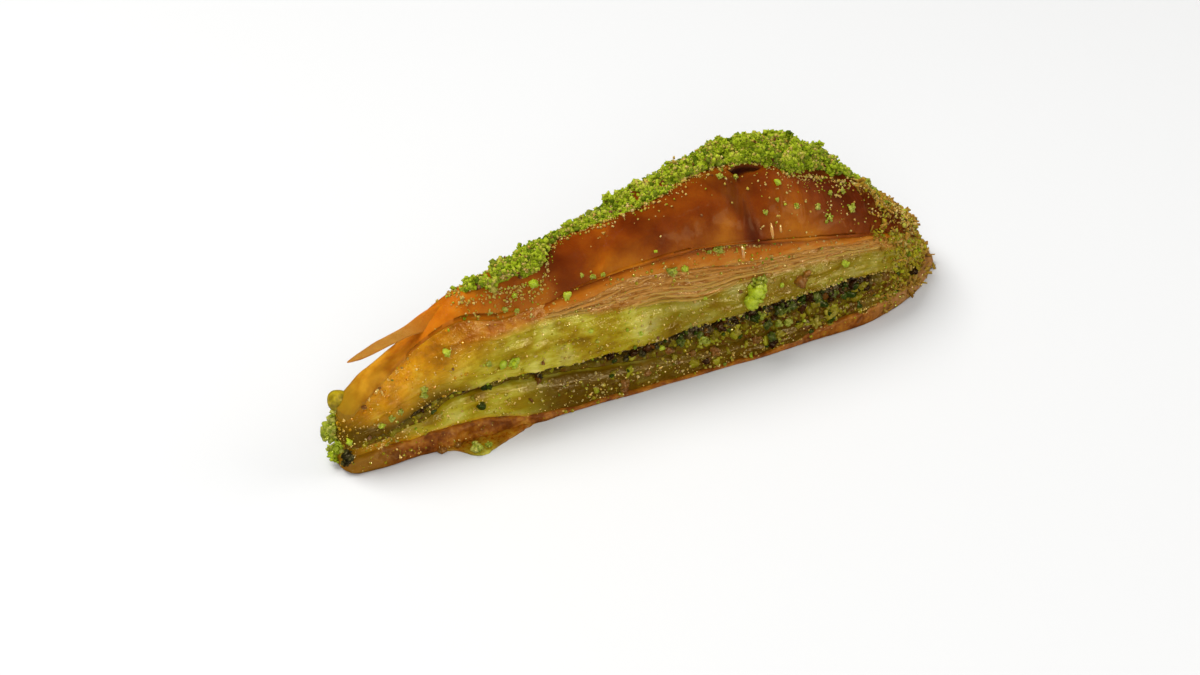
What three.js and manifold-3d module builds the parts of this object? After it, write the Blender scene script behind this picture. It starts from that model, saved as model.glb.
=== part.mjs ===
// A long slice of layered nut pastry, cut as a wedge from a round tray.
// It stands on its flat base. X runs from the narrow tip to the wide outer end, Y across, Z up.
// From the bottom: soaked leaves on a browned base leaf, a band of chopped nuts, a taller stack of leaves
// under a puffed, domed top, and a heap of nut crumbs along the crest.
import * as THREE from "three";
import { mergeVertices } from "three/addons/utils/BufferGeometryUtils.js";
import Module from "manifold-3d";

// ---- driving dimensions, in millimetres ----
const LENGTH = 192.5; // tip to outer end, measured on the middle line
const TIP_HALF_WIDTH = 4.9; // the tray's very centre is cut out, so the tip is blunt
const WEDGE_HALF_ANGLE = 7.3 * (Math.PI / 180);
const TIP_ROUND = 3.5; // length over which the tip's corners round off in plan
const END_ROUND = 50; // length over which the outer end rounds off in plan
const GAP = 0.35; // clearance between neighbouring solids

// Heights along the length, as [distance from the tip, height]. Smooth curves join them.
const LOWER_TOP = [
  [0, 8], [14, 8.4], [23, 9.7], [31, 13], [52, 12.3], [76, 9.2], [114, 5.8], [131, 6.5], [148, 8.6],
  [172, 6.2], [192.5, 3.4],
];
const UPPER_UNDER = [
  [0, 9.3], [12, 10.8], [20, 14.2], [30, 15.7], [70, 14], [100, 14.8], [140, 16], [158, 15], [175, 10.5],
  [192.5, 5.6],
];
const SOAK_LINE = [
  [0, 13], [16, 18.6], [30, 25], [40, 29], [88, 28.6], [103, 25.4], [145, 24.4], [160, 21.6], [172, 17],
  [192.5, 6.6],
];
const LIP = [
  [0, 15.6], [16, 26.6], [32, 35], [46, 32.6], [70, 37.2], [96, 39.1], [120, 35.4], [145, 30.3], [168, 23],
  [184, 12.6], [192.5, 7.6],
];
const CREST = [
  [0, 17.2], [9, 25.4], [22, 32], [32, 38], [42, 41.3], [80, 46.4], [118, 52.4], [136, 49], [150, 43.2],
  [168, 28.2], [184, 14.8], [192.5, 8.2],
];

// Browned base leaves: how thick they are, and how far they stick out past the stack.
const BASE_LEAF_THICK = [
  [0, 4.4], [14, 5.4], [34, 5.4], [42, 4], [50, 2.5], [60, 1.5], [74, 1], [120, 1], [150, 4.4], [192.5, 2.4],
];
const BASE_LEAF_OUT = [[0, 1], [14, 1.2], [52, 0.9], [120, 0.8], [150, 0.4], [172, 0.3], [192.5, 1.2]];
// A soaked leaf squeezed out flat at the near side: where it is widest, how far it reaches, and its length
// each way.
const TONGUE_AT = 35;
const TONGUE_OUT = 4.8;
const TONGUE_TO_TIP = 5;
const TONGUE_TO_END = 12;
const TONGUE_THICK = 0.9;
const MOST_BASE_SHARE = 0.66; // the base leaves take up at most this share of the lower stack

// How far each level of the cut sides stands in from the wedge's outline.
const STACK_IN = 0.8; // the lower stack's side
const STACK_IN_MORE = 0.9; // and this much further where the base leaves are thick, between these thicknesses
const THIN_BASE = 1.5;
const THICK_BASE = 5;
const FILLING_IN = [[0, 1.5], [20, 1.5], [34, 2.9], [70, 2.6], [100, 1.6], [150, 1.2], [192.5, 2]];
const SOAK_IN = 2.2;
const LIP_IN = 4.7;
const TIP_UPRIGHT = 0.2; // share of those distances that is left at the tip, which is cut upright
const OUTER_END_IN = 3.6; // extra distance at the outer end, where the tray's rim pressed the leaves
const UPRIGHT_TO = 24; // the sides are cut more and more upright towards the tip from here
const PRESSED_FROM = 150; // and the outer end's extra distance grows between these
const PRESSED_TO = 186;
const LEAF_STEPS = 4; // ledges of separate leaves between the soaked stack and the lip
const LEAF_OVERHANG = 0.7; // how far each ledge stands out over the one below, where the leaves have parted
const LEAVES_PART_FROM = 25; // towards the tip the syrup holds them together
const LEAVES_PART_TO = 70;
const LIP_OVERHANG = 0.9; // how far the top leaf's lip stands out over the uppermost ledge
const DOME_SHARES = [0.985, 0.93, 0.82, 0.66, 0.46, 0.24, 0]; // the dome's rings, from lip to middle line

const DOME_POWER = 2.3; // how full the dome's cross-section is
const DOME_ROOT = 1.55;
const DOME_IN = 4.1; // the dome starts just outside the lip's line

// Dents and blisters of the baked top leaf: [x, y, rise, length along x, width along y]
const BLISTERS = [
  [119, -12, -1.5, 3.2, 9], [109, -13, 0.9, 6, 6], [131, -12, 0.8, 6, 7], [84, -10, 1, 7, 6],
  [74, -11, -0.8, 4, 6], [62, -8, -0.7, 5, 5], [48, -5, 0.7, 6, 4], [150, -13, -0.7, 5, 6],
  [66, 8, -0.9, 6, 5], [92, 11, 1, 8, 7], [112, 14, -1.2, 5, 8], [134, 13, 0.9, 8, 7], [152, 12, -0.8, 5, 6],
];

// Nut crumbs heaped along the crest: their thickness, and the heap's two edges in plan, along the length
const HEAP_FROM = 37;
const HEAP_TO = 168;
const HEAP_THICK = [[37, 2.4], [44, 4.4], [53, 3.2], [95, 2.2], [116, 3.4], [135, 3.7], [155, 3.2], [168, 1]];
const HEAP_NEAR = [[37, -2.4], [55, -2], [85, 0], [112, -3], [124, -7], [138, -9.5], [155, -8.5], [168, -4]];
const HEAP_FAR = [[37, 3.5], [70, 7], [110, 11], [140, 12], [160, 9], [168, 5]];
const HEAP_EDGE = 0.5; // thickness at the heap's edge
const HEAP_STEPS = 40;
const HEAP_ACROSS = 9;

// Dry strip of the top leaf that reaches out over the tip: [x, near y, near z, far y, far z]
const STRIP = [
  [36, -2, 34, 1.2, 37], [30, -2.3, 33.4, 1.4, 37.9], [26.5, -2.1, 33.4, 1.2, 37.2],
  [22, -1.9, 33.7, 1, 35.6], [17, -1.8, 33.3, 1, 34.4], [12, -1.8, 32.5, 1, 33.2],
  [7.5, -1.8, 31.9, 0.9, 32], [4.4, -1.1, 31.6, 0.4, 31.5],
];
const STRIP_THICK = 0.8;

const RIM_POINTS = 88; // points round the plan outline

// ---- helpers ----

// Height on a smooth curve through [x, value] knots: cubic pieces whose slopes come from each knot's
// neighbours.
function along(knots, x) {
  const last = knots.length - 1;
  if (x <= knots[0][0]) return knots[0][1];
  if (x >= knots[last][0]) return knots[last][1];
  let i = 0;
  while (x > knots[i + 1][0]) i++;
  const slope = (k) => {
    const a = knots[Math.max(k - 1, 0)];
    const b = knots[Math.min(k + 1, last)];
    return (b[1] - a[1]) / (b[0] - a[0]);
  };
  const [x0, y0] = knots[i];
  const [x1, y1] = knots[i + 1];
  const w = x1 - x0;
  const t = (x - x0) / w;
  const t2 = t * t;
  const t3 = t2 * t;
  const start = (2 * t3 - 3 * t2 + 1) * y0 + (t3 - 2 * t2 + t) * w * slope(i);
  return start + (3 * t2 - 2 * t3) * y1 + (t3 - t2) * w * slope(i + 1);
}

// A smooth uneven ripple from -1 to 1 that closes on itself round the outline. turn runs from 0 to 1.
function ripple(turn, waves, seed) {
  const a = 2 * Math.PI * turn;
  const second = Math.round(waves * 1.7) + 1;
  const third = Math.round(waves * 2.9) + 1;
  const finer = 0.3 * Math.sin(second * a + seed * 2.3) + 0.2 * Math.sin(third * a + seed * 4.1);
  return 0.5 * Math.sin(waves * a + seed) + finer;
}

// Half the wedge's width at x: straight sides with both ends rounded off.
function halfWidth(x) {
  const straight = TIP_HALF_WIDTH + x * Math.tan(WEDGE_HALF_ANGLE);
  const tip = Math.sqrt(Math.max(0, 1 - (1 - Math.min(x / TIP_ROUND, 1)) ** 2));
  const end = Math.sqrt(Math.max(0, 1 - (1 - Math.min((LENGTH - x) / END_ROUND, 1)) ** 2));
  return straight * tip * end;
}

// The plan outline as points at equal spacing, anticlockwise from the tip, each with its outward direction.
function planOutline(count) {
  const fine = 4000;
  const raw = [];
  for (let i = 0; i < fine; i++) {
    const a = (2 * Math.PI * i) / fine;
    const x = (LENGTH * (1 - Math.cos(a))) / 2;
    raw.push(new THREE.Vector2(x, (a < Math.PI ? -1 : 1) * halfWidth(x)));
  }
  const lengths = [0];
  for (let i = 1; i <= fine; i++) lengths.push(lengths[i - 1] + raw[i % fine].distanceTo(raw[i - 1]));
  const points = [];
  let k = 0;
  for (let i = 0; i < count; i++) {
    const goal = (lengths[fine] * i) / count;
    while (lengths[k + 1] < goal) k++;
    const share = (goal - lengths[k]) / (lengths[k + 1] - lengths[k]);
    points.push(raw[k].clone().lerp(raw[(k + 1) % fine], share));
  }
  return points.map((p, i) => {
    const d = points[(i + 1) % count].clone().sub(points[(i + count - 1) % count]).normalize();
    return { x: p.x, y: p.y, out: new THREE.Vector2(d.y, -d.x), turn: i / count };
  });
}
const RIM = planOutline(RIM_POINTS);

// The distance in from the outline at x, of a level that stands in by inset along the straight sides.
function leanIn(inset, x) {
  const upright = THREE.MathUtils.lerp(TIP_UPRIGHT, 1, THREE.MathUtils.smoothstep(x, 0, UPRIGHT_TO));
  return inset * upright + OUTER_END_IN * THREE.MathUtils.smoothstep(x, PRESSED_FROM, PRESSED_TO);
}

// Height of the pastry's top skin: a dome across the slice, from the lip to the crest, with its blisters.
function topHeight(x, y) {
  const half = Math.max(halfWidth(x) - leanIn(DOME_IN, x), 0.5);
  const v = Math.min(Math.abs(y) / half, 1);
  const lip = along(LIP, x);
  const fullness = (1 - v ** DOME_POWER) ** (1 / DOME_ROOT);
  let z = lip + (along(CREST, x) - lip) * fullness;
  for (const [bx, by, rise, lx, ly] of BLISTERS) {
    z += rise * Math.exp(-(((x - bx) / lx) ** 2) - ((y - by) / ly) ** 2) * Math.min(1, fullness * 2);
  }
  return z;
}

// The slice's middle line, on which the skins close.
const SPINE_FROM = 5;
const SPINE_TO = LENGTH - 26;
// A point in plan: a share of the way out from the middle line to the outline moved in by inset.
function inward(p, inset, share) {
  const rimX = p.x - p.out.x * inset;
  const rimY = p.y - p.out.y * inset;
  const spineX = THREE.MathUtils.clamp(p.x, SPINE_FROM, SPINE_TO);
  return [spineX + (rimX - spineX) * share, rimY * share];
}

// Merges equal points and drops the triangles that this collapses.
function closedGeometry(position, index) {
  const raw = new THREE.BufferGeometry();
  raw.setAttribute("position", new THREE.Float32BufferAttribute(position, 3));
  raw.setIndex(index);
  const merged = mergeVertices(raw, 1e-3);
  const all = merged.index.array;
  const kept = [];
  for (let i = 0; i < all.length; i += 3) {
    const [a, b, c] = [all[i], all[i + 1], all[i + 2]];
    if (a !== b && b !== c && c !== a) kept.push(a, b, c);
  }
  merged.setIndex(kept);
  return merged;
}

// A closed solid from rings round the outline, the lowest first. The first and last ring lie on the middle
// line, where the two sides of a skin meet.
function solidFromRings(rings) {
  const position = rings.flatMap((ring) => RIM.flatMap(ring));
  const n = RIM.length;
  const index = [];
  for (let r = 0; r + 1 < rings.length; r++) {
    for (let i = 0; i < n; i++) {
      const a = r * n + i;
      const b = r * n + ((i + 1) % n);
      index.push(a, b, b + n, a, b + n, a + n);
    }
  }
  return closedGeometry(position, index);
}

// A ring on the cut side, in from the outline by inset(p), at height z(p).
const sideRing = (inset, z) => (p) => [...inward(p, inset(p), 1), z(p)];
// A ring inside the side, at a share of the way out to the line that stands in by inset(p).
const skinRing = (share, inset, z) => (p) => {
  const [x, y] = inward(p, inset(p), share);
  return [x, y, z(x, y)];
};
// Rings of a face where two stacks meet, from the middle line outwards. Both faces use the same ones, so that
// they stay parallel.
const MEETING_IN = 2.6;
const MEETING_SHARES = [0, 0.4, 0.8];
const meetingFace = (z) => MEETING_SHARES.map((share) => skinRing(share, (p) => leanIn(MEETING_IN, p.x), z));

// ---- the pieces ----

// Soaked lower leaves with the browned base leaves, which stick out as a soft skirt.
function lowerPastry() {
  const top = (x) => along(LOWER_TOP, x) - GAP;
  const out = (p) => along(BASE_LEAF_OUT, p.x) * (1 + 0.5 * ripple(p.turn, 17, 1));
  const tongueLength = (p) => (p.x < TONGUE_AT ? TONGUE_TO_TIP : TONGUE_TO_END);
  const tongueReach = (p) => Math.exp(-(((p.x - TONGUE_AT) / tongueLength(p)) ** 2));
  const tongue = (p) => (p.y < 0 ? TONGUE_OUT * tongueReach(p) : 0);
  const leafThick = (p) => Math.min(along(BASE_LEAF_THICK, p.x), top(p.x) * MOST_BASE_SHARE);
  const leafTop = (p) => leafThick(p) * (1 + 0.12 * ripple(p.turn, 13, 2));
  const skirted = (p) => THREE.MathUtils.smoothstep(along(BASE_LEAF_THICK, p.x), THIN_BASE, THICK_BASE);
  const stack = (p) => STACK_IN + STACK_IN_MORE * skirted(p) + leanIn(0, p.x);
  const at = (p, share) => leafTop(p) + (top(p.x) - leafTop(p)) * share;
  return solidFromRings([
    skinRing(0, () => 0, () => 0),
    sideRing((p) => 0.9 - out(p) - tongue(p), () => 0),
    sideRing((p) => 0.5 - out(p) - tongue(p), (p) => Math.min(TONGUE_THICK * 0.5, leafTop(p) * 0.3)),
    sideRing((p) => 0.6 - out(p) - 0.3 * tongue(p), (p) => Math.min(TONGUE_THICK, leafTop(p) * 0.5)),
    sideRing((p) => 0.9 - out(p), (p) => leafTop(p) * 0.85),
    sideRing((p) => stack(p) + 0.3, (p) => at(p, 0.06)),
    sideRing((p) => stack(p) - 0.4 + 0.4 * ripple(p.turn, 21, 3), (p) => at(p, 0.45)),
    sideRing((p) => stack(p) + 0.4 * ripple(p.turn, 19, 4), (p) => at(p, 0.82)),
    sideRing((p) => stack(p) + 0.9, (p) => top(p.x)),
    ...meetingFace(top).reverse(),
  ]);
}

// Chopped nuts between the two stacks: thin towards the tip, thick towards the outer end, with an uneven
// edge.
function nutFilling() {
  const under = (x) => along(LOWER_TOP, x);
  const over = (x) => along(UPPER_UNDER, x) - GAP;
  const depth = (p) => leanIn(along(FILLING_IN, p.x), p.x) + 0.5 * ripple(p.turn, 31, 5);
  const level = (share) => (p) => THREE.MathUtils.lerp(under(p.x), over(p.x), share);
  return solidFromRings([
    ...meetingFace(under),
    sideRing((p) => depth(p) + 0.6, level(0)),
    sideRing((p) => depth(p) - 0.2 + 0.3 * ripple(p.turn, 37, 6), level(0.35)),
    sideRing((p) => depth(p) + 0.3 * ripple(p.turn, 33, 7), level(0.7)),
    sideRing((p) => depth(p) + 0.7, level(1)),
    ...meetingFace(over).reverse(),
  ]);
}

// Upper leaves: soaked below, flaky above, under the domed top leaf, whose lip hangs over the sides.
function upperPastry() {
  const under = (x) => along(UPPER_UNDER, x);
  const soak = (p) => along(SOAK_LINE, p.x);
  const lip = (p) => along(LIP, p.x);
  const sag = (p) => 0.45 * ripple(p.turn, 29, 8);
  const side = (inset, z) => sideRing((p) => leanIn(inset(p), p.x), z);
  const rings = [
    ...meetingFace(under),
    side(() => 2.1, (p) => under(p.x)),
    side((p) => 0.8 + sag(p), (p) => under(p.x) + 0.5 + 0.3 * sag(p)),
    side((p) => 0.3 + 0.5 * sag(p), (p) => THREE.MathUtils.lerp(under(p.x), soak(p), 0.25)),
    side((p) => 0.8 + 0.4 * ripple(p.turn, 15, 9), (p) => THREE.MathUtils.lerp(under(p.x), soak(p), 0.65)),
    side(() => SOAK_IN, soak),
  ];
  // Each leaf's ledge leans in a little further than the one below, and its edge stands out again.
  for (let k = 0; k < LEAF_STEPS; k++) {
    const edge = (share) => (p) => THREE.MathUtils.lerp(soak(p), lip(p), (k + share) / LEAF_STEPS);
    const lean = SOAK_IN + ((LIP_IN - SOAK_IN) * (k + 1)) / LEAF_STEPS;
    const wave = (p) => 0.3 * ripple(p.turn, 11 + 3 * k, 10 + k);
    const parted = (p) => THREE.MathUtils.smoothstep(p.x, LEAVES_PART_FROM, LEAVES_PART_TO);
    rings.push(side((p) => lean - LEAF_OVERHANG * parted(p) + wave(p), edge(0.3)));
    rings.push(side((p) => lean + 0.5 * wave(p), edge(0.85)));
  }
  rings.push(side((p) => LIP_IN - LIP_OVERHANG + 0.3 * ripple(p.turn, 12, 20), lip));
  for (const share of DOME_SHARES) {
    rings.push(skinRing(share, (p) => leanIn(DOME_IN, p.x), topHeight));
  }
  return solidFromRings(rings);
}

// Loose heap of nut crumbs: a patch over the dome, thickest in the middle, with a wandering edge.
function crumbHeap() {
  const position = [];
  for (const lift of [0, 1]) {
    for (let i = 0; i <= HEAP_STEPS; i++) {
      const x = THREE.MathUtils.lerp(HEAP_FROM, HEAP_TO, i / HEAP_STEPS);
      const wander = 0.8 * Math.sin(x * 0.55) + 0.5 * Math.sin(x * 1.3);
      const nearEnds = Math.min(1, (4 * i) / HEAP_STEPS, (4 * (HEAP_STEPS - i)) / HEAP_STEPS);
      for (let j = 0; j <= HEAP_ACROSS; j++) {
        const v = j / HEAP_ACROSS;
        const y = THREE.MathUtils.lerp(along(HEAP_NEAR, x) + wander, along(HEAP_FAR, x) + wander, v);
        const swell = Math.sqrt(Math.max(0, Math.sin(Math.PI * v) * nearEnds));
        const lumps = 1 + 0.28 * Math.sin(1.9 * x + 2.3 * y) * Math.cos(1.1 * x - 1.7 * y);
        const thick = HEAP_EDGE + along(HEAP_THICK, x) * swell * lumps;
        position.push(x, y, topHeight(x, y) + GAP + lift * thick);
      }
    }
  }
  const row = HEAP_ACROSS + 1;
  const sheet = (HEAP_STEPS + 1) * row;
  const index = [];
  const quad = (a, b, c, d) => index.push(a, b, c, a, c, d);
  for (let i = 0; i < HEAP_STEPS; i++) {
    for (let j = 0; j < HEAP_ACROSS; j++) {
      const a = i * row + j;
      quad(a, a + 1, a + row + 1, a + row);
      quad(sheet + a, sheet + a + row, sheet + a + row + 1, sheet + a + 1);
    }
    const near = i * row;
    const far = near + HEAP_ACROSS;
    quad(near, near + row, sheet + near + row, sheet + near);
    quad(far + row, far, sheet + far, sheet + far + row);
  }
  for (let j = 0; j < HEAP_ACROSS; j++) {
    const end = HEAP_STEPS * row + j;
    quad(j + 1, j, sheet + j, sheet + j + 1);
    quad(end, end + 1, sheet + end + 1, sheet + end);
  }
  return closedGeometry(position, index);
}

// The dry strip: a thin slat from inside the crest out over the tip.
function dryStrip() {
  const position = STRIP.flatMap(([x, nearY, nearZ, farY, farZ]) => [
    [x, nearY, nearZ - STRIP_THICK],
    [x, farY, farZ - STRIP_THICK],
    [x, farY, farZ],
    [x, nearY, nearZ],
  ]).flat();
  const index = [];
  for (let i = 0; i + 1 < STRIP.length; i++) {
    for (let k = 0; k < 4; k++) {
      const a = 4 * i + k;
      const b = 4 * i + ((k + 1) % 4);
      index.push(a, b + 4, b, a, a + 4, b + 4);
    }
  }
  const e = 4 * (STRIP.length - 1);
  index.push(0, 1, 2, 0, 2, 3, e, e + 2, e + 1, e, e + 3, e + 2);
  return closedGeometry(position, index);
}

// ---- boolean join ----
const wasm = await Module();
wasm.setup();
function toManifold(geometry) {
  const vertProperties = new Float32Array(geometry.attributes.position.array);
  const triVerts = new Uint32Array(geometry.index.array);
  return new wasm.Manifold(new wasm.Mesh({ numProp: 3, vertProperties, triVerts }));
}
function joined(a, b) {
  const made = toManifold(a).add(toManifold(b)).getMesh();
  const geometry = new THREE.BufferGeometry();
  geometry.setAttribute("position", new THREE.BufferAttribute(new Float32Array(made.vertProperties), 3));
  geometry.setIndex(new THREE.BufferAttribute(new Uint32Array(made.triVerts), 1));
  return geometry;
}

// ---- finishes ----
const finish = (color, roughness) => new THREE.MeshStandardMaterial({ color, roughness, metalness: 0 });
const SOAKED_LEAF = finish(0x9a8420, 0.35);
const BROWNED_LEAF = finish(0xa35208, 0.28);
const SOAKED_NUT = finish(0x3d3a0e, 0.6);
const NUT_CRUMB = finish(0x7c9c22, 0.8);

// ---- assembly ----
const slice = new THREE.Group();
slice.name = "pastry_slice";
function addPiece(name, geometry, material) {
  const mesh = new THREE.Mesh(geometry, material);
  mesh.name = name;
  slice.add(mesh);
}
addPiece("lower_pastry", lowerPastry(), SOAKED_LEAF);
addPiece("nut_filling", nutFilling(), SOAKED_NUT);
addPiece("upper_pastry", joined(upperPastry(), dryStrip()), BROWNED_LEAF);
addPiece("crumb_heap", crumbHeap(), NUT_CRUMB);

// The frame's origin is the middle of the slice's box, at the base.
const box = new THREE.Box3().setFromObject(slice);
const middle = box.getCenter(new THREE.Vector3());
slice.children.forEach((mesh) => mesh.position.set(-middle.x, -middle.y, -box.min.z));

export default slice;
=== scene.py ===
import bmesh
import bpy
import numpy as np
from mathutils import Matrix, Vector


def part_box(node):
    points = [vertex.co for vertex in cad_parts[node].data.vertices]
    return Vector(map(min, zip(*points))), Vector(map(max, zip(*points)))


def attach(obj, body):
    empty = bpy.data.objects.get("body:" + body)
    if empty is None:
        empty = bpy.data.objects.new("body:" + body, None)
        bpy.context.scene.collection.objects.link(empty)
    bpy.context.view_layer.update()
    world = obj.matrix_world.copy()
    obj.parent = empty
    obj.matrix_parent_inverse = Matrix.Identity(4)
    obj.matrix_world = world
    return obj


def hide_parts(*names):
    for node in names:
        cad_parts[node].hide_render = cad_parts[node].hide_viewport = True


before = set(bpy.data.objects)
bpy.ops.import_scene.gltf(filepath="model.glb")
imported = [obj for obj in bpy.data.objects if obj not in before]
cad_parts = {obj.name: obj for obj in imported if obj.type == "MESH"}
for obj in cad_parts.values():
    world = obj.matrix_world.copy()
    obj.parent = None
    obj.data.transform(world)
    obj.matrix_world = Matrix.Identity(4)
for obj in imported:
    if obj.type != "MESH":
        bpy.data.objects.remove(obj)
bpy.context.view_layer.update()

# ---- The lower leaves ----
# Thin buttered leaves of dough, laid in the tray one on another and soaked through with syrup,
# so that they are pale, wet and pressed together. The knife cuts them into a wedge.
MM = 0.001
LENGTH = 192.5  # from the tip to the outer end; everything is in millimetres from the tip
TIP_HALF_WIDTH = 4.9
WEDGE_HALF_ANGLE = np.radians(7.3)
TIP_ROUND = 3.5
END_ROUND = 50
HEAP_FROM = 37  # where the crumb heap starts, which ties these sizes to the frame
TIP_IN_FRAME = np.array([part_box("crumb_heap")[0].x / MM - HEAP_FROM, 0, 0])
SIDE_COLUMNS = 600
SPINE = (5, LENGTH - 26)  # ends of the middle line, on which the skins close
LOWER_TOP = [  # x, height
    (0, 8), (14, 8.4), (23, 9.7), (31, 13), (52, 12.3), (76, 9.2), (114, 5.8), (131, 6.5), (148, 8.6),
    (172, 6.2), (192.5, 3.4),
]
BASE_THICK = [  # x, height
    (0, 4.4), (14, 5.4), (34, 5.4), (42, 4), (50, 2.5), (60, 1.5), (74, 1), (120, 1), (150, 4.4),
    (192.5, 2.4),
]
LOWER_MURK = [  # x, how brown the leaves are: partly syrup stain, partly painted shade under the filling and the upper stack
    (0, 0.9), (10, 0.5), (24, 0.1), (44, 0), (56, 1), (72, 1.2), (84, 1), (104, 1.1), (130, 1.15), (150, 1.1),
    (176, 0.4),
]
BASE_SHARE = 0.66  # the most of the lower stack's height that the base leaves may take
LOWER_LEAF = 0.8  # height between two leaves of the lower stack
LOWER_ROWS = 34
UPRIGHT_TO = 24  # the sides are cut upright at the tip, and lean in fully from here
TIP_UPRIGHT = 0.2
OUTER_END_IN = 3.6  # how far the tray's rim pressed the leaves in at the outer end
PRESSED = (150, 186)
TORN_OFF = (156, 172)  # where the lumps of the torn outer end begin and are full


def smooth(x, start, end):
    """0 before start, 1 after end, and 3t squared less 2t cubed between them."""
    t = np.clip((x - start) / (end - start), 0, 1)
    return t * t * (3 - 2 * t)


def along(knots, x):
    """A smooth line through (x, value) knots: cubics whose slope at each knot is that of the chord between
    its two neighbours."""
    kx, ky = np.array(knots, float).T
    x = np.clip(x, kx[0], kx[-1])
    before, after = np.r_[0, : len(kx) - 1], np.r_[1 : len(kx), len(kx) - 1]
    slope = (ky[after] - ky[before]) / (kx[after] - kx[before])
    i = np.clip(np.searchsorted(kx, x, side="right") - 1, 0, len(kx) - 2)
    wide = kx[i + 1] - kx[i]
    t = (x - kx[i]) / wide
    rise = t * t * (3 - 2 * t)
    bend = (t**3 - 2 * t**2 + t) * slope[i] + (t**3 - t**2) * slope[i + 1]
    return ky[i] + (ky[i + 1] - ky[i]) * rise + wide * bend


def half_width(x):
    """Half the wedge's width: straight sides, times a quarter circle's rise over each rounded end."""
    straight = TIP_HALF_WIDTH + x * np.tan(WEDGE_HALF_ANGLE)
    tip, end = np.clip(x / TIP_ROUND, 0, 1), np.clip((LENGTH - x) / END_ROUND, 0, 1)
    return straight * np.sqrt((1 - (1 - tip) ** 2) * (1 - (1 - end) ** 2))


def outline(columns):
    """The wedge in plan: equally spaced points from the tip along the near side and back along the far one,
    and the direction that points out of the slice at each."""
    x = LENGTH * (1 - np.cos(np.linspace(0, np.pi, 8000))) / 2
    y = half_width(x)
    run = np.append(0, np.cumsum(np.hypot(np.diff(x), np.diff(y))))
    even = np.linspace(0, run[-1], columns + 1)
    x, y = np.interp(even, run, x), np.interp(even, run, y)
    rim = np.column_stack([np.append(x, x[-2:0:-1]), np.append(-y, y[-2:0:-1])])
    ahead = np.roll(rim, -1, 0) - np.roll(rim, 1, 0)
    out = np.column_stack([ahead[:, 1], -ahead[:, 0]]) / np.linalg.norm(ahead, axis=1, keepdims=True)
    return rim, out


RIM, OUT = outline(SIDE_COLUMNS)
RIM_X = RIM[:, 0]


def lean(inset, x):
    """A distance in from the outline, smaller where the tip is cut upright and larger at the outer end."""
    upright = TIP_UPRIGHT + (1 - TIP_UPRIGHT) * smooth(x, 0, UPRIGHT_TO)
    return inset * upright + OUTER_END_IN * smooth(x, *PRESSED)


def wall(inset, z):
    """Points over the outline: rows are levels, each outline point moved in by inset at height z."""
    inset, z = np.broadcast_arrays(inset, z)
    return np.concatenate([RIM - OUT * inset[..., None], z[..., None]], -1)


def skin(shares, inset, height):
    """Points between the outline and the middle line: at share 1 the outline moved in by inset, at share 0
    the middle line, each at the height that height(x, y) gives."""
    spine = np.column_stack([SPINE[0] + (SPINE[1] - SPINE[0]) * RIM_X / LENGTH, 0 * RIM_X])
    edge = RIM - OUT * np.broadcast_to(inset, RIM_X.shape)[:, None]
    flat = spine + (edge - spine) * np.reshape(shares, (-1, 1, 1))
    return np.concatenate([flat, height(flat[..., 0], flat[..., 1])[..., None]], -1)


CHANCE_STEPS, CHANCE_SEED, CHANCE_DIGITS = np.array([127.1, 311.7, 74.7]), 53.3, 43758.5453
SEED_SHIFT = 17.17  # in cells, so that two fields of one size don't share their cells


def chance(cell, seed):
    """A fixed random number from 0 to 1 for each whole-number cell: the late digits of a sine."""
    wave = np.sin(cell @ CHANCE_STEPS + CHANCE_SEED * seed) * CHANCE_DIGITS
    return wave - np.floor(wave)


def noise(points, size, seed):
    """A smooth random field from -1 to 1: random numbers at the corners of cells of that size, blended
    across each cell."""
    place = points / size + SEED_SHIFT * seed
    low = np.floor(place)
    t = place - low
    t = t * t * (3 - 2 * t)
    total = 0
    for corner in np.ndindex(2, 2, 2):
        weight = np.prod(np.where(corner, t, 1 - t), -1)
        total = total + weight * chance(low + corner, seed)
    return 2 * total - 1


def waves(points, *terms):
    """Noise of several sizes, added up. Each term is its height, its size and its seed."""
    return sum(height * noise(points, size, seed) for height, size, seed in terms)


def leaf_streaks(points, level, length, thick, seed):
    """Noise drawn out along the leaves: long in plan, thin across the level, which counts millimetres."""
    layered = np.concatenate([points[..., :2] / length, (level / thick)[..., None]], -1)
    return noise(layered, 1, seed)


def band_faces(rows, columns, middle_line=(), poles=(), loop=False):
    """Triangles between rings of points. A ring on the middle line shares its points between the two sides of
    the slice, a pole is one point, and loop joins the last ring to the first."""
    number = np.arange(rows * columns).reshape(rows, columns)
    mirrored = np.minimum(np.arange(columns), -np.arange(columns) % columns)
    for row in middle_line:
        number[row] = number[row][mirrored]
    for row in poles:
        number[row] = number[row][0]
    if loop:
        number = np.vstack([number, number[:1]])
    ahead = np.roll(number, -1, 1)
    a, b, c, d = (corner.ravel() for corner in (number[:-1], ahead[:-1], ahead[1:], number[1:]))
    faces = np.concatenate([np.stack([a, b, c], 1), np.stack([a, c, d], 1)])
    return faces[(faces != np.roll(faces, 1, 1)).all(1)]


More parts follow.
